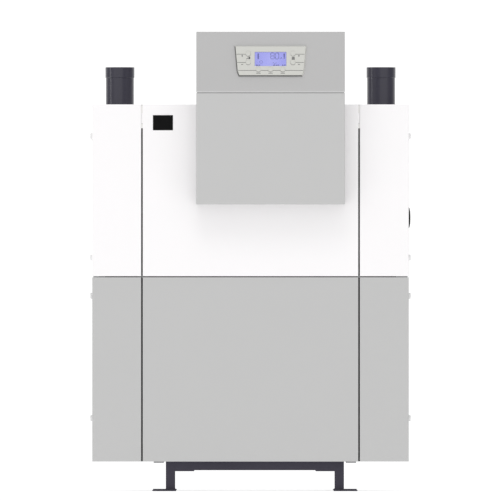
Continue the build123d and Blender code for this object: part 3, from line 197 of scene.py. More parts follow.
@dataclass(frozen=True)
class Finish(Surface):
    """A paint, plastic or metal, with a slightly uneven colour, a fine grain and, where given,
    painted shade on its flanks.
    """

    colour: Colour
    roughness: float
    grain: Grain = Grain.SMOOTH
    metallic: float = 0.0
    specular: float = 0.5
    coat: float = 0.0
    coat_roughness: float = 0.12
    mottle: float = 0.03
    clouds: Pattern = Pattern(7.0, 3.0)
    spangle_scale: float = 90.0
    traces: Pattern = Pattern(320.0, 1.0)
    trace_band: Span = (0.48, 0.52)
    gloss_swing: float = 0.12
    gloss_band: Span = (0.3, 0.7)
    relief: float = 0.02 * MM
    relief_strength: float = 0.6
    # painted shade: a darker colour for the sides that face left or down
    flank_shade: Colour | None = None
    flank_way: Place = (-0.75, 0.0, -1.0)
    flank_band: Span = (0.15, 0.3)

    def shade(self, bench: NodeBench, shader: bpy.types.Node) -> None:
        """Sets the shader's own values, its colour and its grain.

        Args:
            bench: The material's nodes.
            shader: The material's shader.
        """
        shader.inputs["Metallic"].default_value = self.metallic
        shader.inputs["Specular IOR Level"].default_value = self.specular
        shader.inputs["Coat Weight"].default_value = self.coat
        shader.inputs["Coat Roughness"].default_value = self.coat_roughness
        place = bench.place()
        dark = tuple(channel * (1 - self.mottle) for channel in self.colour)
        light = tuple(min(1.0, channel * (1 + self.mottle)) for channel in self.colour)
        colour = bench.blend(self._unevenness(bench, place), dark, light)
        if self.flank_shade:
            colour = self._paint_flank_shade(bench, colour)
        bench.join(colour, shader.inputs["Base Color"])
        self._texture(bench, shader, place)

    def _unevenness(self, bench: NodeBench, place: Socket) -> Socket:
        """Spreads the lighter and the darker colour over the surface.

        Args:
            bench: The material's nodes.
            place: The socket that gives the place on the object.

        Returns:
            The socket of the lighter colour's share.
        """
        if self.grain is Grain.SPANGLE:
            cells = bench.add("ShaderNodeTexVoronoi")
            cells.inputs["Scale"].default_value = self.spangle_scale
            bench.join(place, cells.inputs["Vector"])
            return cells.outputs["Color"]
        if self.grain is Grain.BOARD:
            low, high = self.trace_band
            return bench.ramp(bench.noise(place, self.traces), (low, 0.0), (high, 1.0))
        return bench.noise(place, self.clouds)

    def _paint_flank_shade(self, bench: NodeBench, face: Socket) -> Socket:
        """Paints shade on the sides that slope to the left or down, as a darker colour.

        Args:
            bench: The material's nodes.
            face: The colour socket of the face.

        Returns:
            The colour socket of the whole piece.
        """
        facing = bench.add("ShaderNodeNewGeometry").outputs["Normal"]
        slope = bench.add("ShaderNodeVectorMath")
        slope.operation = "DOT_PRODUCT"
        slope.inputs[1].default_value = self.flank_way
        bench.join(facing, slope.inputs[0])
        low, high = self.flank_band
        share = bench.ramp(slope.outputs["Value"], (low, 0.0), (high, 1.0))
        return bench.blend(share, face, self.flank_shade)

    def _texture(self, bench: NodeBench, shader: bpy.types.Node, place: Socket) -> None:
        """Gives the surface its uneven gloss and fine relief.

        Args:
            bench: The material's nodes.
            shader: The material's shader.
            place: The socket that gives the place on the object.
        """
        grain = bench.noise(place, self.grain.value)
        low, high = self.gloss_band
        glossy = self.roughness * (1 - self.gloss_swing)
        dull = min(1.0, self.roughness * (1 + self.gloss_swing))
        bench.join(bench.ramp(grain, (low, glossy), (high, dull)), shader.inputs["Roughness"])
        bump = bench.add("ShaderNodeBump")
        bump.inputs["Distance"].default_value = self.relief
        bump.inputs["Strength"].default_value = self.relief_strength
        bench.join(grain, bump.inputs["Height"])
        bench.join(bump.outputs["Normal"], shader.inputs["Normal"])


@dataclass(frozen=True)
class Backlight(Surface):
    """A display film lit from behind, brighter towards its middle."""

    edge: Colour
    middle: Colour
    centre: Vector
    reach: float
    strength: float = 1.0
    unlit: Colour = (0.02, 0.02, 0.05)
    specular: float = 0.1

    def shade(self, bench: NodeBench, shader: bpy.types.Node) -> None:
        """Makes the film glow, fading with the distance from its middle.

        Args:
            bench: The material's nodes.
            shader: The material's shader.
        """
        away = bench.add("ShaderNodeVectorMath")
        away.operation = "DISTANCE"
        away.inputs[1].default_value = self.centre
        bench.join(bench.place(), away.inputs[0])
        fade = bench.ramp(away.outputs["Value"], (0.0, 0.0), (self.reach, 1.0))
        bench.join(bench.blend(fade, self.middle, self.edge), shader.inputs["Emission Color"])
        shader.inputs["Emission Strength"].default_value = self.strength
        shader.inputs["Base Color"].default_value = (*self.unlit, 1)
        shader.inputs["Specular IOR Level"].default_value = self.specular


@dataclass(frozen=True)
class ClearGlass(Surface):
    """A thin clear window with a faint haze."""

    tint: Colour
    roughness: float
    clear_share: float = 0.5
    refraction: float = 1.2
    haze: Pattern = Pattern(40.0, 2.0)

    def shade(self, bench: NodeBench, shader: bpy.types.Node) -> None:
        """Lets the light through, with a haze that varies over the window.

        Args:
            bench: The material's nodes.
            shader: The material's shader.
        """
        shader.inputs["Transmission Weight"].default_value = 1.0
        shader.inputs["IOR"].default_value = self.refraction
        haze = bench.noise(bench.place(), self.haze)
        bench.join(bench.blend(haze, self.tint, WHITE), shader.inputs["Base Color"])
        clear = (0.0, self.roughness * self.clear_share)
        bench.join(bench.ramp(haze, clear, (1.0, self.roughness)), shader.inputs["Roughness"])


class Finishes:
    """The finishes of the boiler, each named for what wears it."""

    WHITE_PAINT = Finish(
        "white_powder_coat", (0.945, 0.93, 0.938), 0.42, Grain.POWDER, mottle=0.004)
    GREY_PAINT = Finish("grey_powder_coat", (0.518, 0.518, 0.516), 0.42, Grain.POWDER, mottle=0.01)
    BOX_PAINT = Finish("box_powder_coat", (0.525, 0.525, 0.523), 0.36, Grain.POWDER, mottle=0.01)
    # the box's grey made darker: painted shade on the leaning fascia
    FASCIA_SHADED_PAINT = Finish(
        "fascia_shaded_powder_coat", (0.475, 0.472, 0.472), 0.36, Grain.POWDER, mottle=0.01)
    STAND_PAINT = Finish(
        "stand_paint", (0.043, 0.039, 0.058), 0.5, Grain.POWDER, specular=0.3, mottle=0.12)
    FLUE_ENAMEL = Finish(
        "flue_enamel", (0.025, 0.023, 0.04), 0.32, Grain.POWDER, coat=0.2, mottle=0.08)
    GALVANISED = Finish(
        "galvanised_sheet", (0.55, 0.56, 0.57), 0.4, Grain.SPANGLE, metallic=0.9, mottle=0.1)
    RUNNER_STEEL = Finish(
        "runner_steel", (0.33, 0.33, 0.34), 0.5, Grain.BRUSHED, metallic=0.3, mottle=0.08)
    STAINLESS = Finish(
        "stainless_steel", (0.62, 0.61, 0.59), 0.28, Grain.BRUSHED, metallic=1.0, mottle=0.06)
    CAST = Finish(
        "cast_aluminium", (0.58, 0.58, 0.59), 0.55, Grain.CAST, metallic=0.85, relief=0.12 * MM)
    PIPE_PAINT = Finish("pipe_paint", (0.09, 0.09, 0.095), 0.5, Grain.POWDER, mottle=0.1)
    BRASS = Finish("valve_brass", (0.7, 0.5, 0.22), 0.3, Grain.CAST, metallic=1.0, mottle=0.08)
    WELD = Finish("weld_bead", (0.06, 0.056, 0.064), 0.4, Grain.CAST, mottle=0.2, relief=0.3 * MM)
    RUBBER = Finish(
        "black_rubber", (0.014, 0.014, 0.015), 0.6, Grain.SPARK, specular=0.2, mottle=0.2)
    GROMMET = Finish(
        "grommet_rubber", (0.006, 0.006, 0.008), 0.8, Grain.SPARK, specular=0.05, mottle=0.2)
    # black of the seam seals, which also paints the shade in the seams
    SEAM_SHADE_SEAL = Finish(
        "seam_shade_seal", (0.003, 0.003, 0.003), 0.8, Grain.SPARK, specular=0.05, mottle=0.2)
    # painted shade in the groove under the fascia
    SEAM_SHADE_GREY = Finish("seam_shade_grey", (0.38, 0.38, 0.38), 0.6, Grain.POWDER, mottle=0.02)
    # painted highlight on the fascia's bent foot
    SEAM_HIGHLIGHT = Finish("seam_highlight", (0.6, 0.6, 0.6), 0.5, Grain.POWDER, mottle=0.02)
    # painted light seen in the tops of the seams
    SEAM_LIGHT = Finish("seam_painted_light", (0.84, 0.83, 0.81), 0.6, Grain.POWDER, mottle=0.02)
    # the bezel's flank colour is painted shade on its sides that face left or down
    BEZEL = Finish(
        "bezel_plastic", (0.6, 0.6, 0.565), 0.45, Grain.SPARK,
        mottle=0.012, flank_shade=(0.16, 0.16, 0.155))
    BUTTON = Finish("button_plastic", (0.6, 0.6, 0.565), 0.42, mottle=0.01)
    # painted shade in the bezel's grooves and under its buttons
    GROOVE_SHADE = Finish("groove_shade", (0.2, 0.2, 0.2), 0.7, Grain.SPARK, specular=0.2, mottle=0.1)
    CAP = Finish("cap_plastic", (0.86, 0.86, 0.86), 0.4, Grain.SPARK, mottle=0.02)
    FAN_PLASTIC = Finish("fan_plastic", (0.03, 0.03, 0.034), 0.42, Grain.SPARK, mottle=0.15)
    TRAP_PLASTIC = Finish("trap_plastic", (0.7, 0.7, 0.71), 0.4, Grain.SPARK, mottle=0.02)
    RED_GRIP = Finish("red_grip", (0.5, 0.02, 0.015), 0.3, coat=0.3, mottle=0.04)
    BOARD = Finish("circuit_board", (0.02, 0.14, 0.06), 0.35, Grain.BOARD, mottle=0.35)
    MODULE = Finish("display_frame", (0.12, 0.12, 0.14), 0.4, Grain.SPARK, mottle=0.1)
    PRINT = Finish("panel_print", (0.05, 0.05, 0.055), 0.5, Grain.SPARK, mottle=0.1)
    PLATE = Finish("plain_plate", (0.004, 0.004, 0.004), 0.6, specular=0.08, mottle=0.2)
    SEGMENT = Finish("display_ink", (0.05, 0.055, 0.22), 0.4, mottle=0.1)
    WINDOW = ClearGlass("display_window", (0.93, 0.94, 1.0), 0.08)


class Shapes:
    """Mesh building shared by the sub-assemblies."""

    @staticmethod
    def link(name: str, mesh: Mesh, surface: Surface) -> bpy.types.Object:
        """Turns a finished bmesh into an object with one surface.

        Args:
            name: The piece's name.
            mesh: The bmesh, which is freed.
            surface: What the piece wears.

        Returns:
            The new object.
        """
        bmesh.ops.recalc_face_normals(mesh, faces=mesh.faces)
        data = bpy.data.meshes.new(name)
        mesh.to_mesh(data)
        mesh.free()
        data.materials.append(surface.material())
        piece = bpy.data.objects.new(name, data)
        bpy.context.scene.collection.objects.link(piece)
        return piece

    @staticmethod
    def prisms(mesh: Mesh, outlines: list[Outline], span: Span, place: Matrix) -> None:
        """Adds a closed prism for each outline to a bmesh.

        Args:
            mesh: The bmesh to add to.
            outlines: Corners of each prism in the place's own plane, anticlockwise.
            span: Lowest and highest level above that plane.
            place: Where the plane is.
        """
        for outline in outlines:
            low, high = ([mesh.verts.new(place @ Vector((u, v, level))) for u, v in outline]
                         for level in span)
            mesh.faces.new(low[::-1])
            mesh.faces.new(high)
            for index in range(len(outline)):
                before = index - 1
                mesh.faces.new((low[before], low[index], high[index], high[before]))

    @staticmethod
    def polar(centre: Point, radius: float, degrees: float) -> Point:
        """Gives the point at an angle round a centre, anticlockwise from the right."""
        angle = math.radians(degrees)
        return (centre[0] + radius * math.cos(angle), centre[1] + radius * math.sin(angle))

    @staticmethod
    def rectangle(centre: Point, size: Span, corner: float = 0.0, steps: int = 4) -> Outline:
        """Outline of a rectangle, with square or round corners.

        Args:
            centre: Its middle.
            size: Its width and height.
            corner: Radius of its corners, or nought for square ones.
            steps: Steps in each round corner's arc.

        Returns:
            The outline, anticlockwise.
        """
        half_u, half_v = size[0] / 2 - corner, size[1] / 2 - corner
        outline = []
        for quarter, (side, end) in enumerate(((1, 1), (-1, 1), (-1, -1), (1, -1))):
            pivot = (centre[0] + side * half_u, centre[1] + end * half_v)
            arc = [90 * (quarter + step / steps) for step in range(steps + 1)]
            outline += [Shapes.polar(pivot, corner, turn) for turn in arc] if corner else [pivot]
        return outline

    @staticmethod
    def disc(centre: Point, radius: float, steps: int = 20) -> Outline:
        """Outline of a disc.

        Args:
            centre: Its middle.
            radius: Its radius.
            steps: Corners of the outline.

        Returns:
            The outline, anticlockwise.
        """
        return [Shapes.polar(centre, radius, 360 * step / steps) for step in range(steps)]

    @staticmethod
    def bar(start: Point, end: Point, width: float) -> Outline:
        """Outline of a straight bar between two points.

        Args:
            start: Middle of one end.
            end: Middle of the other end.
            width: The bar's width.

        Returns:
            The outline, anticlockwise.
        """
        first, last = Vector(start), Vector(end)
        along = last - first
        side = Vector((-along.y, along.x)).normalized() * width / 2
        return [tuple(corner) for corner in (first - side, last - side, last + side, first + side)]

    @staticmethod
    def chevron(points: tuple[Point, Point, Point], width: float) -> list[Outline]:
        """Outlines of the two bars of a chevron, through its three points."""
        return [Shapes.bar(start, end, width) for start, end in zip(points, points[1:])]

    @staticmethod
    def spread(count: int, pitch: float) -> list[float]:
        """Spaces some places evenly about nought."""
        return [(index - (count - 1) / 2) * pitch for index in range(count)]


@dataclass
class SubAssembly:
    """A group of the boiler's pieces with what they wear. Sizes are in metres."""

    frame: dict[str, dict]
    made: list[str] = field(default_factory=list)

    def dress(self) -> None:
        """Gives the frame's nodes in this sub-assembly their finishes."""

    def build(self) -> None:
        """Makes the pieces that the frame doesn't have, where there are any."""

    def wear(self, surface: Surface, *nodes: str) -> None:
        """Gives nodes of the frame their finish.

        Args:
            surface: What they wear.
            nodes: Names of the nodes.
        """
        material = surface.material()
        for name in nodes:
            data = self.frame["nodes"][name].data
            data.materials.clear()
            data.materials.append(material)
            self.made.append(name)

    def lay(self, name: str, surface: Surface, slot: str, place: Matrix,
            *layers: tuple[list[Outline], Span]) -> None:
        """Makes one piece of thin prisms, which rides on the casing.

        Args:
            name: The piece's name.
            surface: What it wears.
            slot: The record's material slot.
            place: Where the plane of the outlines is.
            layers: Outlines with their lowest and highest level above that plane.
        """
        mesh = bmesh.new()
        for outlines, span in layers:
            Shapes.prisms(mesh, outlines, span, place)
        self.carry(Shapes.link(name, mesh, surface), "casing", slot)

    def carry(self, piece: bpy.types.Object, body: str, slot: str) -> None:
        """Sets a new piece on its body.

        Args:
            piece: The new piece.
            body: The body that it rides on.
            slot: The record's material slot; not used.
        """
        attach(piece, body)
        self.made.append(piece.name)

    def report(self) -> None:
        """Logs each piece of this sub-assembly."""
        for name in self.made:
            LOG.info("%s: %s", type(self).__name__, name)


@dataclass
class Stand(SubAssembly):
    """Welded stand under the casing, with its weld beads."""

    centre_x: float = 12.5 * MM
    spacing: Span = (482 * MM, 500 * MM)
    tube: float = 25 * MM
    plate: float = 3 * MM
    bead_radius: float = 1.4 * MM
    bead_pitch: float = 2.6 * MM
    bead_waist: float = 0.82  # of the radius
    bead_facets: int = 4

    def dress(self) -> None:
        """Paints the stand."""
        self.wear(Finishes.STAND_PAINT, "stand_legs", "stand_crossbeams", "stand_side_beams",
                  "floor_plates", "corner_gussets")

    def build(self) -> None:
        """Lays a rippled weld bead round the foot of each leg."""
        mesh = bmesh.new()
        for x in Shapes.spread(2, self.spacing[0]):
            for y in Shapes.spread(2, self.spacing[1]):
                self._bead(mesh, Vector((self.centre_x + x, y, self.plate)))
        piece = Shapes.link("leg_welds", mesh, Finishes.WELD)
        for face in piece.data.polygons:
            face.use_smooth = True
        self.carry(piece, "casing", "dark_paint")

    def _bead(self, mesh: Mesh, middle: Vector) -> None:
        """Adds one closed bead along the joint of a leg and its plate.

        Args:
            mesh: The bmesh to add to.
            middle: Middle of the leg's foot.
        """
        corners = [Vector((*corner, 0)) for corner in
                   Shapes.rectangle((0.0, 0.0), (self.tube, self.tube))]
        steps = round(2 * self.tube / self.bead_pitch)
        rings = []
        for start, end in zip(corners, corners[1:] + corners[:1]):
            for step in range(steps):
                root = start.lerp(end, step / steps)
                radius = self.bead_radius * (1.0 if step % 2 else self.bead_waist)
                rings.append(self._bead_ring(mesh, middle + root, root.normalized(), radius))
        for ring, after in zip(rings, rings[1:] + rings[:1]):
            for index in range(len(ring)):
                before = index - 1
                mesh.faces.new((ring[before], ring[index], after[index], after[before]))

    def _bead_ring(self, mesh: Mesh, root: Vector, outward: Vector,
                   radius: float) -> list[bmesh.types.BMVert]:
        """Adds the corners of a bead's quarter-round section.

        Args:
            mesh: The bmesh to add to.
            root: Where the leg meets its plate.
            outward: The way out from the leg.
            radius: The section's radius.

        Returns:
            The corners, from the plate up to the leg, then the root.
        """
        ring = []
        for facet in range(self.bead_facets + 1):
            angle = math.radians(90 * facet / self.bead_facets)
            way = outward * math.cos(angle) + Vector((0, 0, math.sin(angle)))
            ring.append(mesh.verts.new(root + way * radius))
        return [*ring, mesh.verts.new(root)]


@dataclass
class Casing(SubAssembly):
    """Outer panels with their seams and screws, and the plain plate on the front."""

    front_y: float = -320 * MM
    seam_x: float = 308.5 * MM
    seam_shade_seal: float = 3.7 * MM
    seal_level: Span = (-9.5 * MM, -0.6 * MM)
    seam_spans: tuple[Span, Span] = ((86 * MM, 607 * MM), (613 * MM, 1032 * MM))
    lit_spans: tuple[Span, Span] = ((1032 * MM, 1045 * MM), (1075.5 * MM, 1098 * MM))
    belt_z: float = 610 * MM
    belt_shade_seal: float = 2.9 * MM
    belt_reach: float = 413.7 * MM
    plate_centre: Point = (-249 * MM, 1048 * MM)
    plate_size: Span = (57 * MM, 43 * MM)
    plate_corner: float = 0.8 * MM
    plate_thickness: float = 0.5 * MM

    def dress(self) -> None:
        """Paints the panels and gives the fittings their finishes."""
        self.wear(Finishes.WHITE_PAINT, "left_panel_upper", "right_panel_upper",
                  "front_panel_upper", "top_cover")
        self.wear(Finishes.GREY_PAINT, "left_panel_lower", "right_panel_lower",
                  "front_panel_lower")
        self.wear(Finishes.GALVANISED, "back_panel", "base_pan", "frame_posts", "frame_rails",
                  "shelf_rails")
        self.wear(Finishes.RUNNER_STEEL, "pan_runners")
        self.wear(Finishes.CAP, "casing_screws")
        self.wear(Finishes.GROMMET, "cable_grommet")

    def build(self) -> None:
        """Makes the black seals that also paint the seams' shade, the pale fillers that paint light
        in their tops, and the plate on the front.
        """
        upright = Matrix(((1, 0, 0, 0), (0, 0, -1, self.front_y), (0, 1, 0, 0), (0, 0, 0, 1)))
        plate = Shapes.rectangle(self.plate_centre, self.plate_size, self.plate_corner)
        # black seal strips in the seams: a rubber seal whose black also paints the shade in the
        # gaps
        self.lay("seam_shade_seals", Finishes.SEAM_SHADE_SEAL, "black_rubber", upright,
                 (self._uprights(self.seam_spans), self.seal_level),
                 (self._belt(), self.seal_level))
        # pale strips at the seams' tops: painted light falling into the gaps from above
        self.lay("seam_light_fillers", Finishes.SEAM_LIGHT, "white_paint", upright,
                 (self._uprights(self.lit_spans), self.seal_level))
        self.lay("plain_plate", Finishes.PLATE, "black_rubber", upright,
                 ([plate], (0.0, self.plate_thickness)))

    def _uprights(self, spans: tuple[Span, Span]) -> list[Outline]:
        """Outlines of strips in both upright seams of the front.

        Args:
            spans: Foot and top of each strip.

        Returns:
            One outline for each strip.
        """
        return [
            Shapes.rectangle((side * self.seam_x, (low + high) / 2), (self.seam_shade_seal, high - low))
            for side in (-1, 1) for low, high in spans
        ]

    def _belt(self) -> list[Outline]:
        """Outlines of the strips in the level seam.

        Returns:
            One outline for each front panel's strip.
        """
        inner, outer = self.seam_x - self.seam_shade_seal, self.seam_x + self.seam_shade_seal
        runs = ((-self.belt_reach, -outer), (-inner, inner), (outer, self.belt_reach))
        return [Shapes.rectangle(((left + right) / 2, self.belt_z), (right - left, self.belt_shade_seal))
                for left, right in runs]


@dataclass
class FlueWay(SubAssembly):
    """Flue pipes, elbows, seals and collars."""

    def dress(self) -> None:
        """Gives the flue parts their finishes."""
        self.wear(Finishes.FLUE_ENAMEL, "flue_pipe_left", "flue_pipe_right")
        self.wear(Finishes.STAINLESS, "flue_elbows")
        self.wear(Finishes.RUBBER, "socket_seals", "flue_collars")


@dataclass
class HeatEngines(SubAssembly):
    """Exchangers, burners, fans and gas valves."""

    def dress(self) -> None:
        """Gives the heat engines their finishes."""
        for side in ("left", "right"):
            self.wear(Finishes.STAINLESS, f"exchanger_shell_{side}")
            self.wear(Finishes.CAST, f"burner_door_{side}", f"fan_housing_{side}")
            self.wear(Finishes.FAN_PLASTIC, f"fan_impeller_{side}")
        self.wear(Finishes.STAINLESS, "burner_tubes")
        self.wear(Finishes.GALVANISED, "door_nuts", "exchanger_saddles")
        self.wear(Finishes.FAN_PLASTIC, "fan_motors")
        self.wear(Finishes.CAST, "air_mixers", "gas_valves")


@dataclass
class Pipework(SubAssembly):
    """Water, gas and condensate pipes."""

    def dress(self) -> None:
        """Gives the pipes and the drain cock their finishes."""
        self.wear(Finishes.PIPE_PAINT, "supply_manifold", "return_manifold", "gas_manifold")
        self.wear(Finishes.TRAP_PLASTIC, "condensate_traps", "condensate_pipe")
        self.wear(Finishes.BRASS, "drain_cock")
        self.wear(Finishes.RED_GRIP, "drain_lever")


@dataclass(frozen=True)
class PanelPlane:
    """The fascia's leaning plane: U to the right and V up from the control panel's middle."""

    centre_x: float = 57 * MM
    front_y: float = -410 * MM
    foot_z: float = 1134.5 * MM
    panel_z: float = 1222 * MM
    lean: float = math.radians(8)

    def matrix(self) -> Matrix:
        """Works out where the plane is.

        Returns:
            Its matrix, with the levels above the plane counted outwards.
        """
        y = self.front_y + (self.panel_z - self.foot_z) * math.tan(self.lean)
        sine, cosine = math.sin(self.lean), math.cos(self.lean)
        return Matrix((
            (1.0, 0.0, 0.0, self.centre_x),
            (0.0, sine, -cosine, y),
            (0.0, cosine, sine, self.panel_z),
            (0.0, 0.0, 0.0, 1.0),
        ))


class Digit(Enum):
    """Lit bars of a digit: a at the top and on clockwise, g across the middle."""

    NOUGHT = "abcdef"
    EIGHT = "abcdefg"


@dataclass
class Display(SubAssembly):
    """Display module behind its window, with the lit film and its figures."""

    plane: PanelPlane = PanelPlane()
    film_level: Span = (4.72 * MM, 4.86 * MM)
    film_size: Span = (89 * MM, 39.4 * MM)
    film_v: float = 5.4 * MM
    film_corner: float = 0.8 * MM
    film_edge: Colour = (0.34, 0.345, 0.78)
    film_middle: Colour = (0.41, 0.42, 0.84)
    glow_reach: float = 52 * MM
    ink_level: Span = (4.86 * MM, 4.95 * MM)
    digits: tuple[tuple[Digit, float], ...] = (
        (Digit.EIGHT, 0.6 * MM), (Digit.NOUGHT, 13.6 * MM))
    digit_foot: float = 5.8 * MM
    digit_size: Span = (9.6 * MM, 17 * MM)
    digit_stroke: float = 1.3 * MM
    digit_gap: float = 0.62  # of the stroke
    level_bars: int = 6
    level_foot: float = 6.4 * MM
    level_pitch: float = 2.7 * MM
    level_size: Span = (4.2 * MM, 2 * MM)
    level_u: float = -35 * MM
    growth_u: float = 38.6 * MM
    growth_start: float = 2.2 * MM
    growth_step: float = 0.5 * MM
    roof: tuple[Point, Point, Point] = (
        (27.8 * MM, 6 * MM), (30.4 * MM, 10.4 * MM), (33 * MM, 6 * MM))
    roof_stroke: float = 0.9 * MM
    arrow: tuple[Point, Point, Point] = (
        (7 * MM, -4.5 * MM), (12 * MM, -9.5 * MM), (17 * MM, -4.5 * MM))
    arrow_stroke: float = 0.8 * MM
    ring_centre: Point = (-27 * MM, -3 * MM)
    ring_radius: float = 4.6 * MM
    ring_bars: int = 4
    ring_start: float = 45.0  # degrees, as the sweep is
    ring_sweep: float = 70.0
    ring_stroke: float = 0.7 * MM
    caption_v: float = -12.2 * MM
    caption_height: float = 2 * MM
    captions: tuple[Span, ...] = (  # middle and width of each
        (-38.4 * MM, 6.2 * MM), (-31.6 * MM, 4.6 * MM), (10 * MM, 4.4 * MM),
        (16 * MM, 3.4 * MM), (22 * MM, 5.2 * MM), (34.4 * MM, 4.2 * MM), (40.2 * MM, 5.2 * MM))

    def dress(self) -> None:
        """Gives the module, its board and its window their finishes."""
        self.wear(Finishes.MODULE, "display_module")
        self.wear(Finishes.BOARD, "control_board")
        self.wear(Finishes.WINDOW, "display_window")

    def build(self) -> None:
        """Makes the lit film and the figures printed on it."""
        place = self.plane.matrix()
        centre = place @ Vector((0, self.film_v, self.film_level[1]))
        glow = Backlight("display_light", self.film_edge, self.film_middle, centre, self.glow_reach)
        film = Shapes.rectangle((0.0, self.film_v), self.film_size, self.film_corner)
        self.lay("display_film", glow, "display_parts", place, ([film], self.film_level))
        self.lay("display_figures", Finishes.SEGMENT, "display_parts", place,
                 (self._figures(), self.ink_level))

    def _figures(self) -> list[Outline]:
        """Draws a number, two columns of level bars, small marks and a row of plain captions.

        Returns:
            The outlines of all the figures.
        """
        outlines = []
        for digit, left in self.digits:
            outlines += self._digit(digit, left)
        for index in range(self.level_bars):
            v = self.level_foot + self.level_pitch * index
            growing = (self.growth_start + self.growth_step * index, self.level_size[1])
            outlines.append(Shapes.rectangle((self.level_u, v), self.level_size))
            outlines.append(Shapes.rectangle((self.growth_u, v), growing))
        outlines += Shapes.chevron(self.roof, self.roof_stroke)
        for index in range(self.ring_bars):
            start = self.ring_start + 360 / self.ring_bars * index
            ends = [Shapes.polar(self.ring_centre, self.ring_radius, degrees)
                    for degrees in (start, start + self.ring_sweep)]
            outlines.append(Shapes.bar(*ends, self.ring_stroke))
        outlines += Shapes.chevron(self.arrow, self.arrow_stroke)
        for u, width in self.captions:
            outlines.append(Shapes.rectangle((u, self.caption_v), (width, self.caption_height)))
        return outlines

    def _digit(self, digit: Digit, left: float) -> list[Outline]:
        """Outlines of the lit bars of one digit.

        Args:
            digit: The digit.
            left: Its left side.

        Returns:
            One outline for each lit bar.
        """
        width, height = self.digit_size
        gap = self.digit_stroke * self.digit_gap
        low = self.digit_foot
        right, high, middle = left + width, low + height, low + height / 2
        ends = {
            "a": ((left + gap, high), (right - gap, high)),
            "b": ((right, high - gap), (right, middle + gap)),
            "c": ((right, middle - gap), (right, low + gap)),
            "d": ((left + gap, low), (right - gap, low)),
            "e": ((left, middle - gap), (left, low + gap)),
            "f": ((left, high - gap), (left, middle + gap)),
            "g": ((left + gap, middle), (right - gap, middle)),
        }
        return [Shapes.bar(*ends[letter], self.digit_stroke) for letter in digit.value]


@dataclass(frozen=True)
class Sign:
    """A sign printed on the bezel, drawn about its own origin."""

    def outlines(self) -> list[Outline]:
        """Draws the sign, one outline for each of its parts."""
        raise NotImplementedError

    def at(self, place: Point) -> list[Outline]:
        """Draws the sign at a place on the panel."""
        return [[(u + place[0], v + place[1]) for u, v in outline] for outline in self.outlines()]


@dataclass(frozen=True)
class PlusSign(Sign):
    """A plus sign: a level bar with an arm over it and one under it."""

    bar: Span = (4.6 * MM, 1.4 * MM)
    arm: Span = (1.4 * MM, 2.2 * MM)
    arm_v: float = 1.8 * MM

    def outlines(self) -> list[Outline]:
        """Draws the level bar and its arms."""
        arms = [Shapes.rectangle((0.0, v), self.arm) for v in (self.arm_v, -self.arm_v)]
        return [Shapes.rectangle((0.0, 0.0), self.bar), *arms]


@dataclass(frozen=True)
class MinusSign(Sign):
    """A minus sign: one level bar."""

    bar: Span = (5.6 * MM, 1.4 * MM)

    def outlines(self) -> list[Outline]:
        """Draws the level bar."""
        return [Shapes.rectangle((0.0, 0.0), self.bar)]


@dataclass(frozen=True)
class TapSign(Sign):
    """A tap from the side: round body, spout with its outlet, and a handle on top."""

    body: Point = (3.4 * MM, 1.5 * MM)
    body_radius: float = 2.7 * MM
    spout: tuple[Point, Point] = ((0.9 * MM, 1.4 * MM), (-2.6 * MM, 1.3 * MM))
    spout_width: float = 1.7 * MM
    outlet: tuple[Point, Point] = ((-2.7 * MM, 1.2 * MM), (-4.6 * MM, -1.2 * MM))
    outlet_width: float = 1.5 * MM
    handle: Point = (3.4 * MM, 4.9 * MM)
    handle_size: Span = (4.6 * MM, 0.9 * MM)

    def outlines(self) -> list[Outline]:
        """Draws the tap.

        Returns:
            Outlines of its body, spout, outlet and handle.
        """
        return [
            Shapes.disc(self.body, self.body_radius),
            Shapes.bar(*self.spout, self.spout_width),
            Shapes.bar(*self.outlet, self.outlet_width),
            Shapes.rectangle(self.handle, self.handle_size),
        ]


@dataclass(frozen=True)
class RadiatorSign(Sign):
    """A radiator from the front: upright columns over a thin line."""

    columns: int = 4
    pitch: float = 2.1 * MM
    column: Span = (1.5 * MM, 6.8 * MM)
    column_v: float = 1.0 * MM
    corner: float = 0.5 * MM
    corner_steps: int = 3
    line: Span = (9 * MM, 0.7 * MM)
    line_v: float = -2.9 * MM

    def outlines(self) -> list[Outline]:
        """Draws the radiator.

        Returns:
            One outline for each column, then the line.
        """
        columns = [
            Shapes.rectangle((u, self.column_v), self.column, self.corner, self.corner_steps)
            for u in Shapes.spread(self.columns, self.pitch)
        ]
        return [*columns, Shapes.rectangle((0.0, self.line_v), self.line)]


@dataclass(frozen=True)
class CaptionSign(Sign):
    """A plain caption: a short row of blocks."""

    blocks: int = 4
    pitch: float = 3.1 * MM
    block: Span = (2.3 * MM, 1.9 * MM)

    def outlines(self) -> list[Outline]:
        """Draws the row of blocks."""
        return [Shapes.rectangle((u, 0.0), self.block)
                for u in Shapes.spread(self.blocks, self.pitch)]


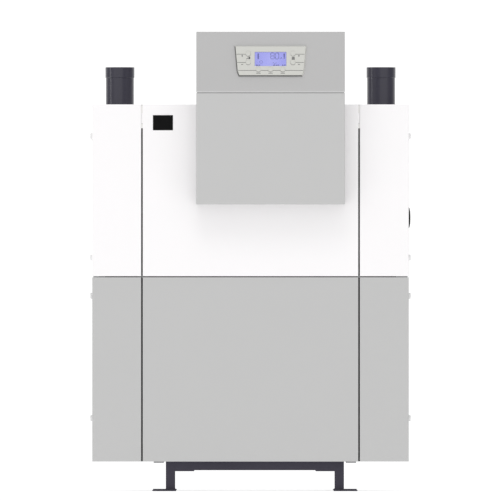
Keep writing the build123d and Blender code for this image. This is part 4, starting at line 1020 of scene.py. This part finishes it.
@dataclass
class ControlPanel(SubAssembly):
    """Bezel with its buttons, printed signs and shaded grooves, set out on its plane."""

    plane: PanelPlane = PanelPlane()
    print_level: Span = (7 * MM, 7.15 * MM)
    side_u: float = 63.5 * MM
    row_pitch: float = 34.5 * MM
    row_buttons: int = 3
    button_side_v: Span = (20.8 * MM, -4.1 * MM)
    button_row_v: float = -24.4 * MM
    button_room: float = 7.3 * MM
    rim_width: float = 0.9 * MM
    rim_arc: Span = (200.0, 340.0)  # degrees, anticlockwise from the right
    rim_tip: float = 0.08
    rim_steps: int = 14
    groove_side_v: Span = (19.0 * MM, -4.6 * MM)
    groove_row_v: float = -27.6 * MM
    groove_width: float = 1.2 * MM
    groove_level: Span = (6.22 * MM, 6.32 * MM)
    groove_end_u: float = 96.6 * MM
    groove_taper: float = 0.08
    groove_row_half: float = 92.5 * MM
    sign_u: float = 80.5 * MM
    plus_v: float = 14.4 * MM
    minus_v: float = -10.2 * MM
    tap_v: float = 6.4 * MM
    radiator_v: float = 6.8 * MM
    radiator_shift: float = 1 * MM
    caption_v: float = -35.5 * MM

    def dress(self) -> None:
        """Gives the bezel and the buttons their finishes."""
        self.wear(Finishes.BEZEL, "panel_bezel")
        buttons = [name for name in self.frame["nodes"] if name.startswith("button_")]
        self.wear(Finishes.BUTTON, *buttons)

    def build(self) -> None:
        """Prints the signs and lays the shade in the grooves and under the buttons."""
        place = self.plane.matrix()
        self.lay("panel_signs", Finishes.PRINT, "bezel_plastic", place,
                 (self._signs(), self.print_level))
        self.lay("panel_shade_lines", Finishes.GROOVE_SHADE, "bezel_plastic", place,
                 (self._grooves(), self.groove_level), (self._crescents(), self.print_level))

    def _row(self) -> list[float]:
        """Gives the middle of each button in the lower row."""
        return Shapes.spread(self.row_buttons, self.row_pitch)

    def _signs(self) -> list[Outline]:
        """Sets the plus, minus, tap and radiator signs and the captions out on the bezel.

        Returns:
            The outlines of all the signs.
        """
        outlines = []
        for side in (-1, 1):
            outlines += PlusSign().at((side * self.sign_u, self.plus_v))
            outlines += MinusSign().at((side * self.sign_u, self.minus_v))
        outlines += TapSign().at((-self.side_u, self.tap_v))
        outlines += RadiatorSign().at((self.side_u + self.radiator_shift, self.radiator_v))
        for u in self._row():
            outlines += CaptionSign().at((u, self.caption_v))
        return outlines

    def _grooves(self) -> list[Outline]:
        """Draws the painted shade lines in the bezel's grooves, left out where a button is.

        Returns:
            One outline for each stretch of groove.
        """
        outlines = []
        for v in self.groove_side_v:
            near = self.side_u + self.button_room
            far = self.groove_end_u - self.groove_taper * (self.groove_side_v[0] - v)
            for side in (-1, 1):
                centre = (side * (near + far) / 2, v)
                outlines.append(Shapes.rectangle(centre, (far - near, self.groove_width)))
        edges = [-self.groove_row_half]
        for u in self._row():
            edges += [u - self.button_room, u + self.button_room]
        edges.append(self.groove_row_half)
        for near, far in zip(edges[::2], edges[1::2]):
            centre = ((near + far) / 2, self.groove_row_v)
            outlines.append(Shapes.rectangle(centre, (far - near, self.groove_width)))
        return outlines

    def _crescents(self) -> list[Outline]:
        """Draws the thin crescent of shade under each button, widest below it.

        Returns:
            One outline for each short stretch of a crescent.
        """
        start, end = self.rim_arc
        centres = [(side * self.side_u, v) for side in (-1, 1) for v in self.button_side_v]
        centres += [(u, self.button_row_v) for u in self._row()]
        outlines = []
        for centre in centres:
            edges = []
            for step in range(self.rim_steps + 1):
                share = step / self.rim_steps
                degrees = start + (end - start) * share
                swell = math.sin(math.pi * (self.rim_tip + (1 - 2 * self.rim_tip) * share))
                radii = (self.button_room, self.button_room + self.rim_width * swell)
                edges.append([Shapes.polar(centre, radius, degrees) for radius in radii])
            outlines += [[*edge, *after[::-1]] for edge, after in zip(edges, edges[1:])]
        return outlines


@dataclass
class ControlBox(SubAssembly):
    """The control box's shell, fascia and cover, with a strip of painted shade and a strip of
    painted highlight at its seam.
    """

    plane: PanelPlane = PanelPlane()
    width: float = 422 * MM
    strip_room: float = 4 * MM
    strip_y: Span = (-409.6 * MM, -400 * MM)
    strip_level: Span = (1131.6 * MM, 1134.4 * MM)
    highlight_room: float = 1 * MM
    highlight_v: Span = (-88.3 * MM, -85.7 * MM)
    highlight_level: Span = (-0.3 * MM, 0.24 * MM)

    def dress(self) -> None:
        """Gives the cover its paint, the fascia a darker copy of that paint as painted shade, and
        the shell its bare sheet.
        """
        self.wear(Finishes.BOX_PAINT, "box_cover")
        self.wear(Finishes.FASCIA_SHADED_PAINT, "box_fascia")
        self.wear(Finishes.GALVANISED, "box_shell")

    def build(self) -> None:
        """Makes the grey strip of painted shade in the seam under the fascia and the pale strip of
        painted highlight on its foot.
        """
        level = Matrix.Translation((self.plane.centre_x, 0, 0))
        # grey strip in the seam: painted shade of the groove
        self.lay("box_seam_shade_strip", Finishes.SEAM_SHADE_GREY, "box_paint", level,
                 ([self._strip(self.strip_room, self.strip_y)], self.strip_level))
        # pale strip on the fascia's foot: painted highlight of its bent edge
        self.lay("box_seam_highlight", Finishes.SEAM_HIGHLIGHT, "box_paint", self.plane.matrix(),
                 ([self._strip(self.highlight_room, self.highlight_v)], self.highlight_level))

    def _strip(self, room: float, reach: Span) -> Outline:
        """Outline of a strip along the box.

        Args:
            room: How much narrower than the box it is.
            reach: Its two long edges.

        Returns:
            The outline, anticlockwise.
        """
        return Shapes.rectangle((0.0, sum(reach) / 2), (self.width - room, reach[1] - reach[0]))


@dataclass(frozen=True)
class Lamp:
    """A soft rectangular light that points at the boiler."""

    name: str
    place: Place
    size: Span
    power: float
    target: Place

    def build(self) -> None:
        """Adds the light to the scene."""
        data = bpy.data.lights.new(self.name, "AREA")
        data.shape = "RECTANGLE"
        data.size, data.size_y = self.size
        data.energy = self.power
        light = bpy.data.objects.new(self.name, data)
        light.location = self.place
        away = Vector(self.target) - Vector(self.place)
        light.rotation_euler = away.to_track_quat("-Z", "Y").to_euler()
        bpy.context.scene.collection.objects.link(light)


@dataclass
class Studio:
    """White floor, soft light and the camera of the photograph."""

    pixel: float = 2.8436 * MM
    photo_pixels: int = 500
    middle_pixel_x: float = 250.5
    floor_pixel_y: float = 491.25
    lens: float = 1680.0
    sensor: float = 36.0
    front_y: float = Casing.front_y
    eye_height: float = 0.46
    clip_room: float = 3.0
    floor_radius: float = 3.2
    floor_corners: int = 96
    floor_paint: Colour = (0.48, 0.48, 0.48)
    floor_roughness: float = 0.9
    floor_glow: float = 0.72
    sky: float = 1.03
    zenith: float = 0.8
    zenith_band: Span = (0.1, 0.8)
    far_side: float = 0.4
    side_band: Span = (0.68, 0.98)
    backdrop: float = 1.1
    lamps: tuple[Lamp, ...] = (
        Lamp("key_light", (-0.2, -3.2, 4.4), (2.2, 1.6), 26.0, (0.0, 0.0, 0.65)),
        Lamp("left_strip", (-4.0, -0.38, 1.2), (0.34, 2.6), 13.0, (0.0, 0.0, 1.15)),
    )

    def build(self) -> None:
        """Makes the camera, the floor, the sky and the lights."""
        scene = bpy.context.scene
        scene.view_settings.view_transform = "Standard"
        self._camera(scene)
        self._floor()
        self._sky(scene)
        for lamp in self.lamps:
            lamp.build()

    def _camera(self, scene: bpy.types.Scene) -> None:
        """Places the far, long-lens camera, low enough to hide the rear floor plates.

        Args:
            scene: The scene that it serves.
        """
        data = bpy.data.cameras.new("photo_camera")
        data.lens = self.lens
        data.sensor_width = self.sensor
        distance = self.photo_pixels * self.pixel * self.lens / self.sensor
        data.clip_end = distance * self.clip_room
        middle = self.photo_pixels / 2
        x = (middle - self.middle_pixel_x) * self.pixel
        z = (self.floor_pixel_y - middle) * self.pixel
        tilt = math.atan2(z - self.eye_height, distance)
        camera = bpy.data.objects.new("photo_camera", data)
        camera.location = (x, self.front_y - distance, self.eye_height)
        camera.rotation_euler = (math.radians(90) + tilt, 0, 0)
        scene.collection.objects.link(camera)
        scene.camera = camera

    def _floor(self) -> None:
        """Makes the pale floor, which glows a little so that it stays white."""
        mesh = bmesh.new()
        bmesh.ops.create_circle(mesh, cap_ends=True, segments=self.floor_corners,
                                radius=self.floor_radius)
        data = bpy.data.meshes.new("floor")
        mesh.to_mesh(data)
        mesh.free()
        material = bpy.data.materials.new("floor_white")
        material.use_nodes = True
        shader = material.node_tree.nodes["Principled BSDF"]
        shader.inputs["Base Color"].default_value = (*self.floor_paint, 1)
        shader.inputs["Roughness"].default_value = self.floor_roughness
        shader.inputs["Specular IOR Level"].default_value = 0.0
        shader.inputs["Emission Color"].default_value = (*WHITE, 1)
        shader.inputs["Emission Strength"].default_value = self.floor_glow
        data.materials.append(material)
        floor = bpy.data.objects.new("floor", data)
        bpy.context.scene.collection.objects.link(floor)

    def _sky(self, scene: bpy.types.Scene) -> None:
        """Lights everything from a white surround, dimmer overhead and at both far sides.

        Args:
            scene: The scene that it lights.
        """
        world = bpy.data.worlds.new("studio")
        world.use_nodes = True
        tree = world.node_tree
        bench = NodeBench(tree)
        split = bench.add("ShaderNodeSeparateXYZ")
        bench.join(bench.add("ShaderNodeTexCoord").outputs["Generated"], split.inputs["Vector"])
        sideways = bench.add("ShaderNodeMath")
        sideways.operation = "ABSOLUTE"
        bench.join(split.outputs["X"], sideways.inputs[0])
        (low, high), (near, far) = self.zenith_band, self.side_band
        upward = bench.ramp(split.outputs["Z"], (low, self.sky), (high, self.zenith), True)
        across = bench.ramp(sideways.outputs["Value"], (near, 1.0), (far, self.far_side), True)
        strength = bench.add("ShaderNodeMath")
        strength.operation = "MULTIPLY"
        bench.join(upward, strength.inputs[0])
        bench.join(across, strength.inputs[1])
        light, seen = tree.nodes["Background"], bench.add("ShaderNodeBackground")
        for background in (light, seen):
            background.inputs["Color"].default_value = (*WHITE, 1)
        bench.join(strength.outputs["Value"], light.inputs["Strength"])
        seen.inputs["Strength"].default_value = self.backdrop
        choose = bench.add("ShaderNodeMixShader")
        bench.join(bench.add("ShaderNodeLightPath").outputs["Is Camera Ray"], choose.inputs["Fac"])
        bench.join(light.outputs["Background"], choose.inputs[1])
        bench.join(seen.outputs["Background"], choose.inputs[2])
        bench.join(choose.outputs["Shader"], tree.nodes["World Output"].inputs["Surface"])
        scene.world = world


def main() -> None:
    """Builds the studio and every sub-assembly, and reports each piece."""
    logging.basicConfig(level=logging.INFO, format="%(message)s")
    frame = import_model()
    Studio().build()
    for kind in (Stand, Casing, FlueWay, HeatEngines, Pipework, Display, ControlPanel, ControlBox):
        group = kind(frame)
        group.dress()
        group.build()
        group.report()


if __name__ == "__main__":
    main()
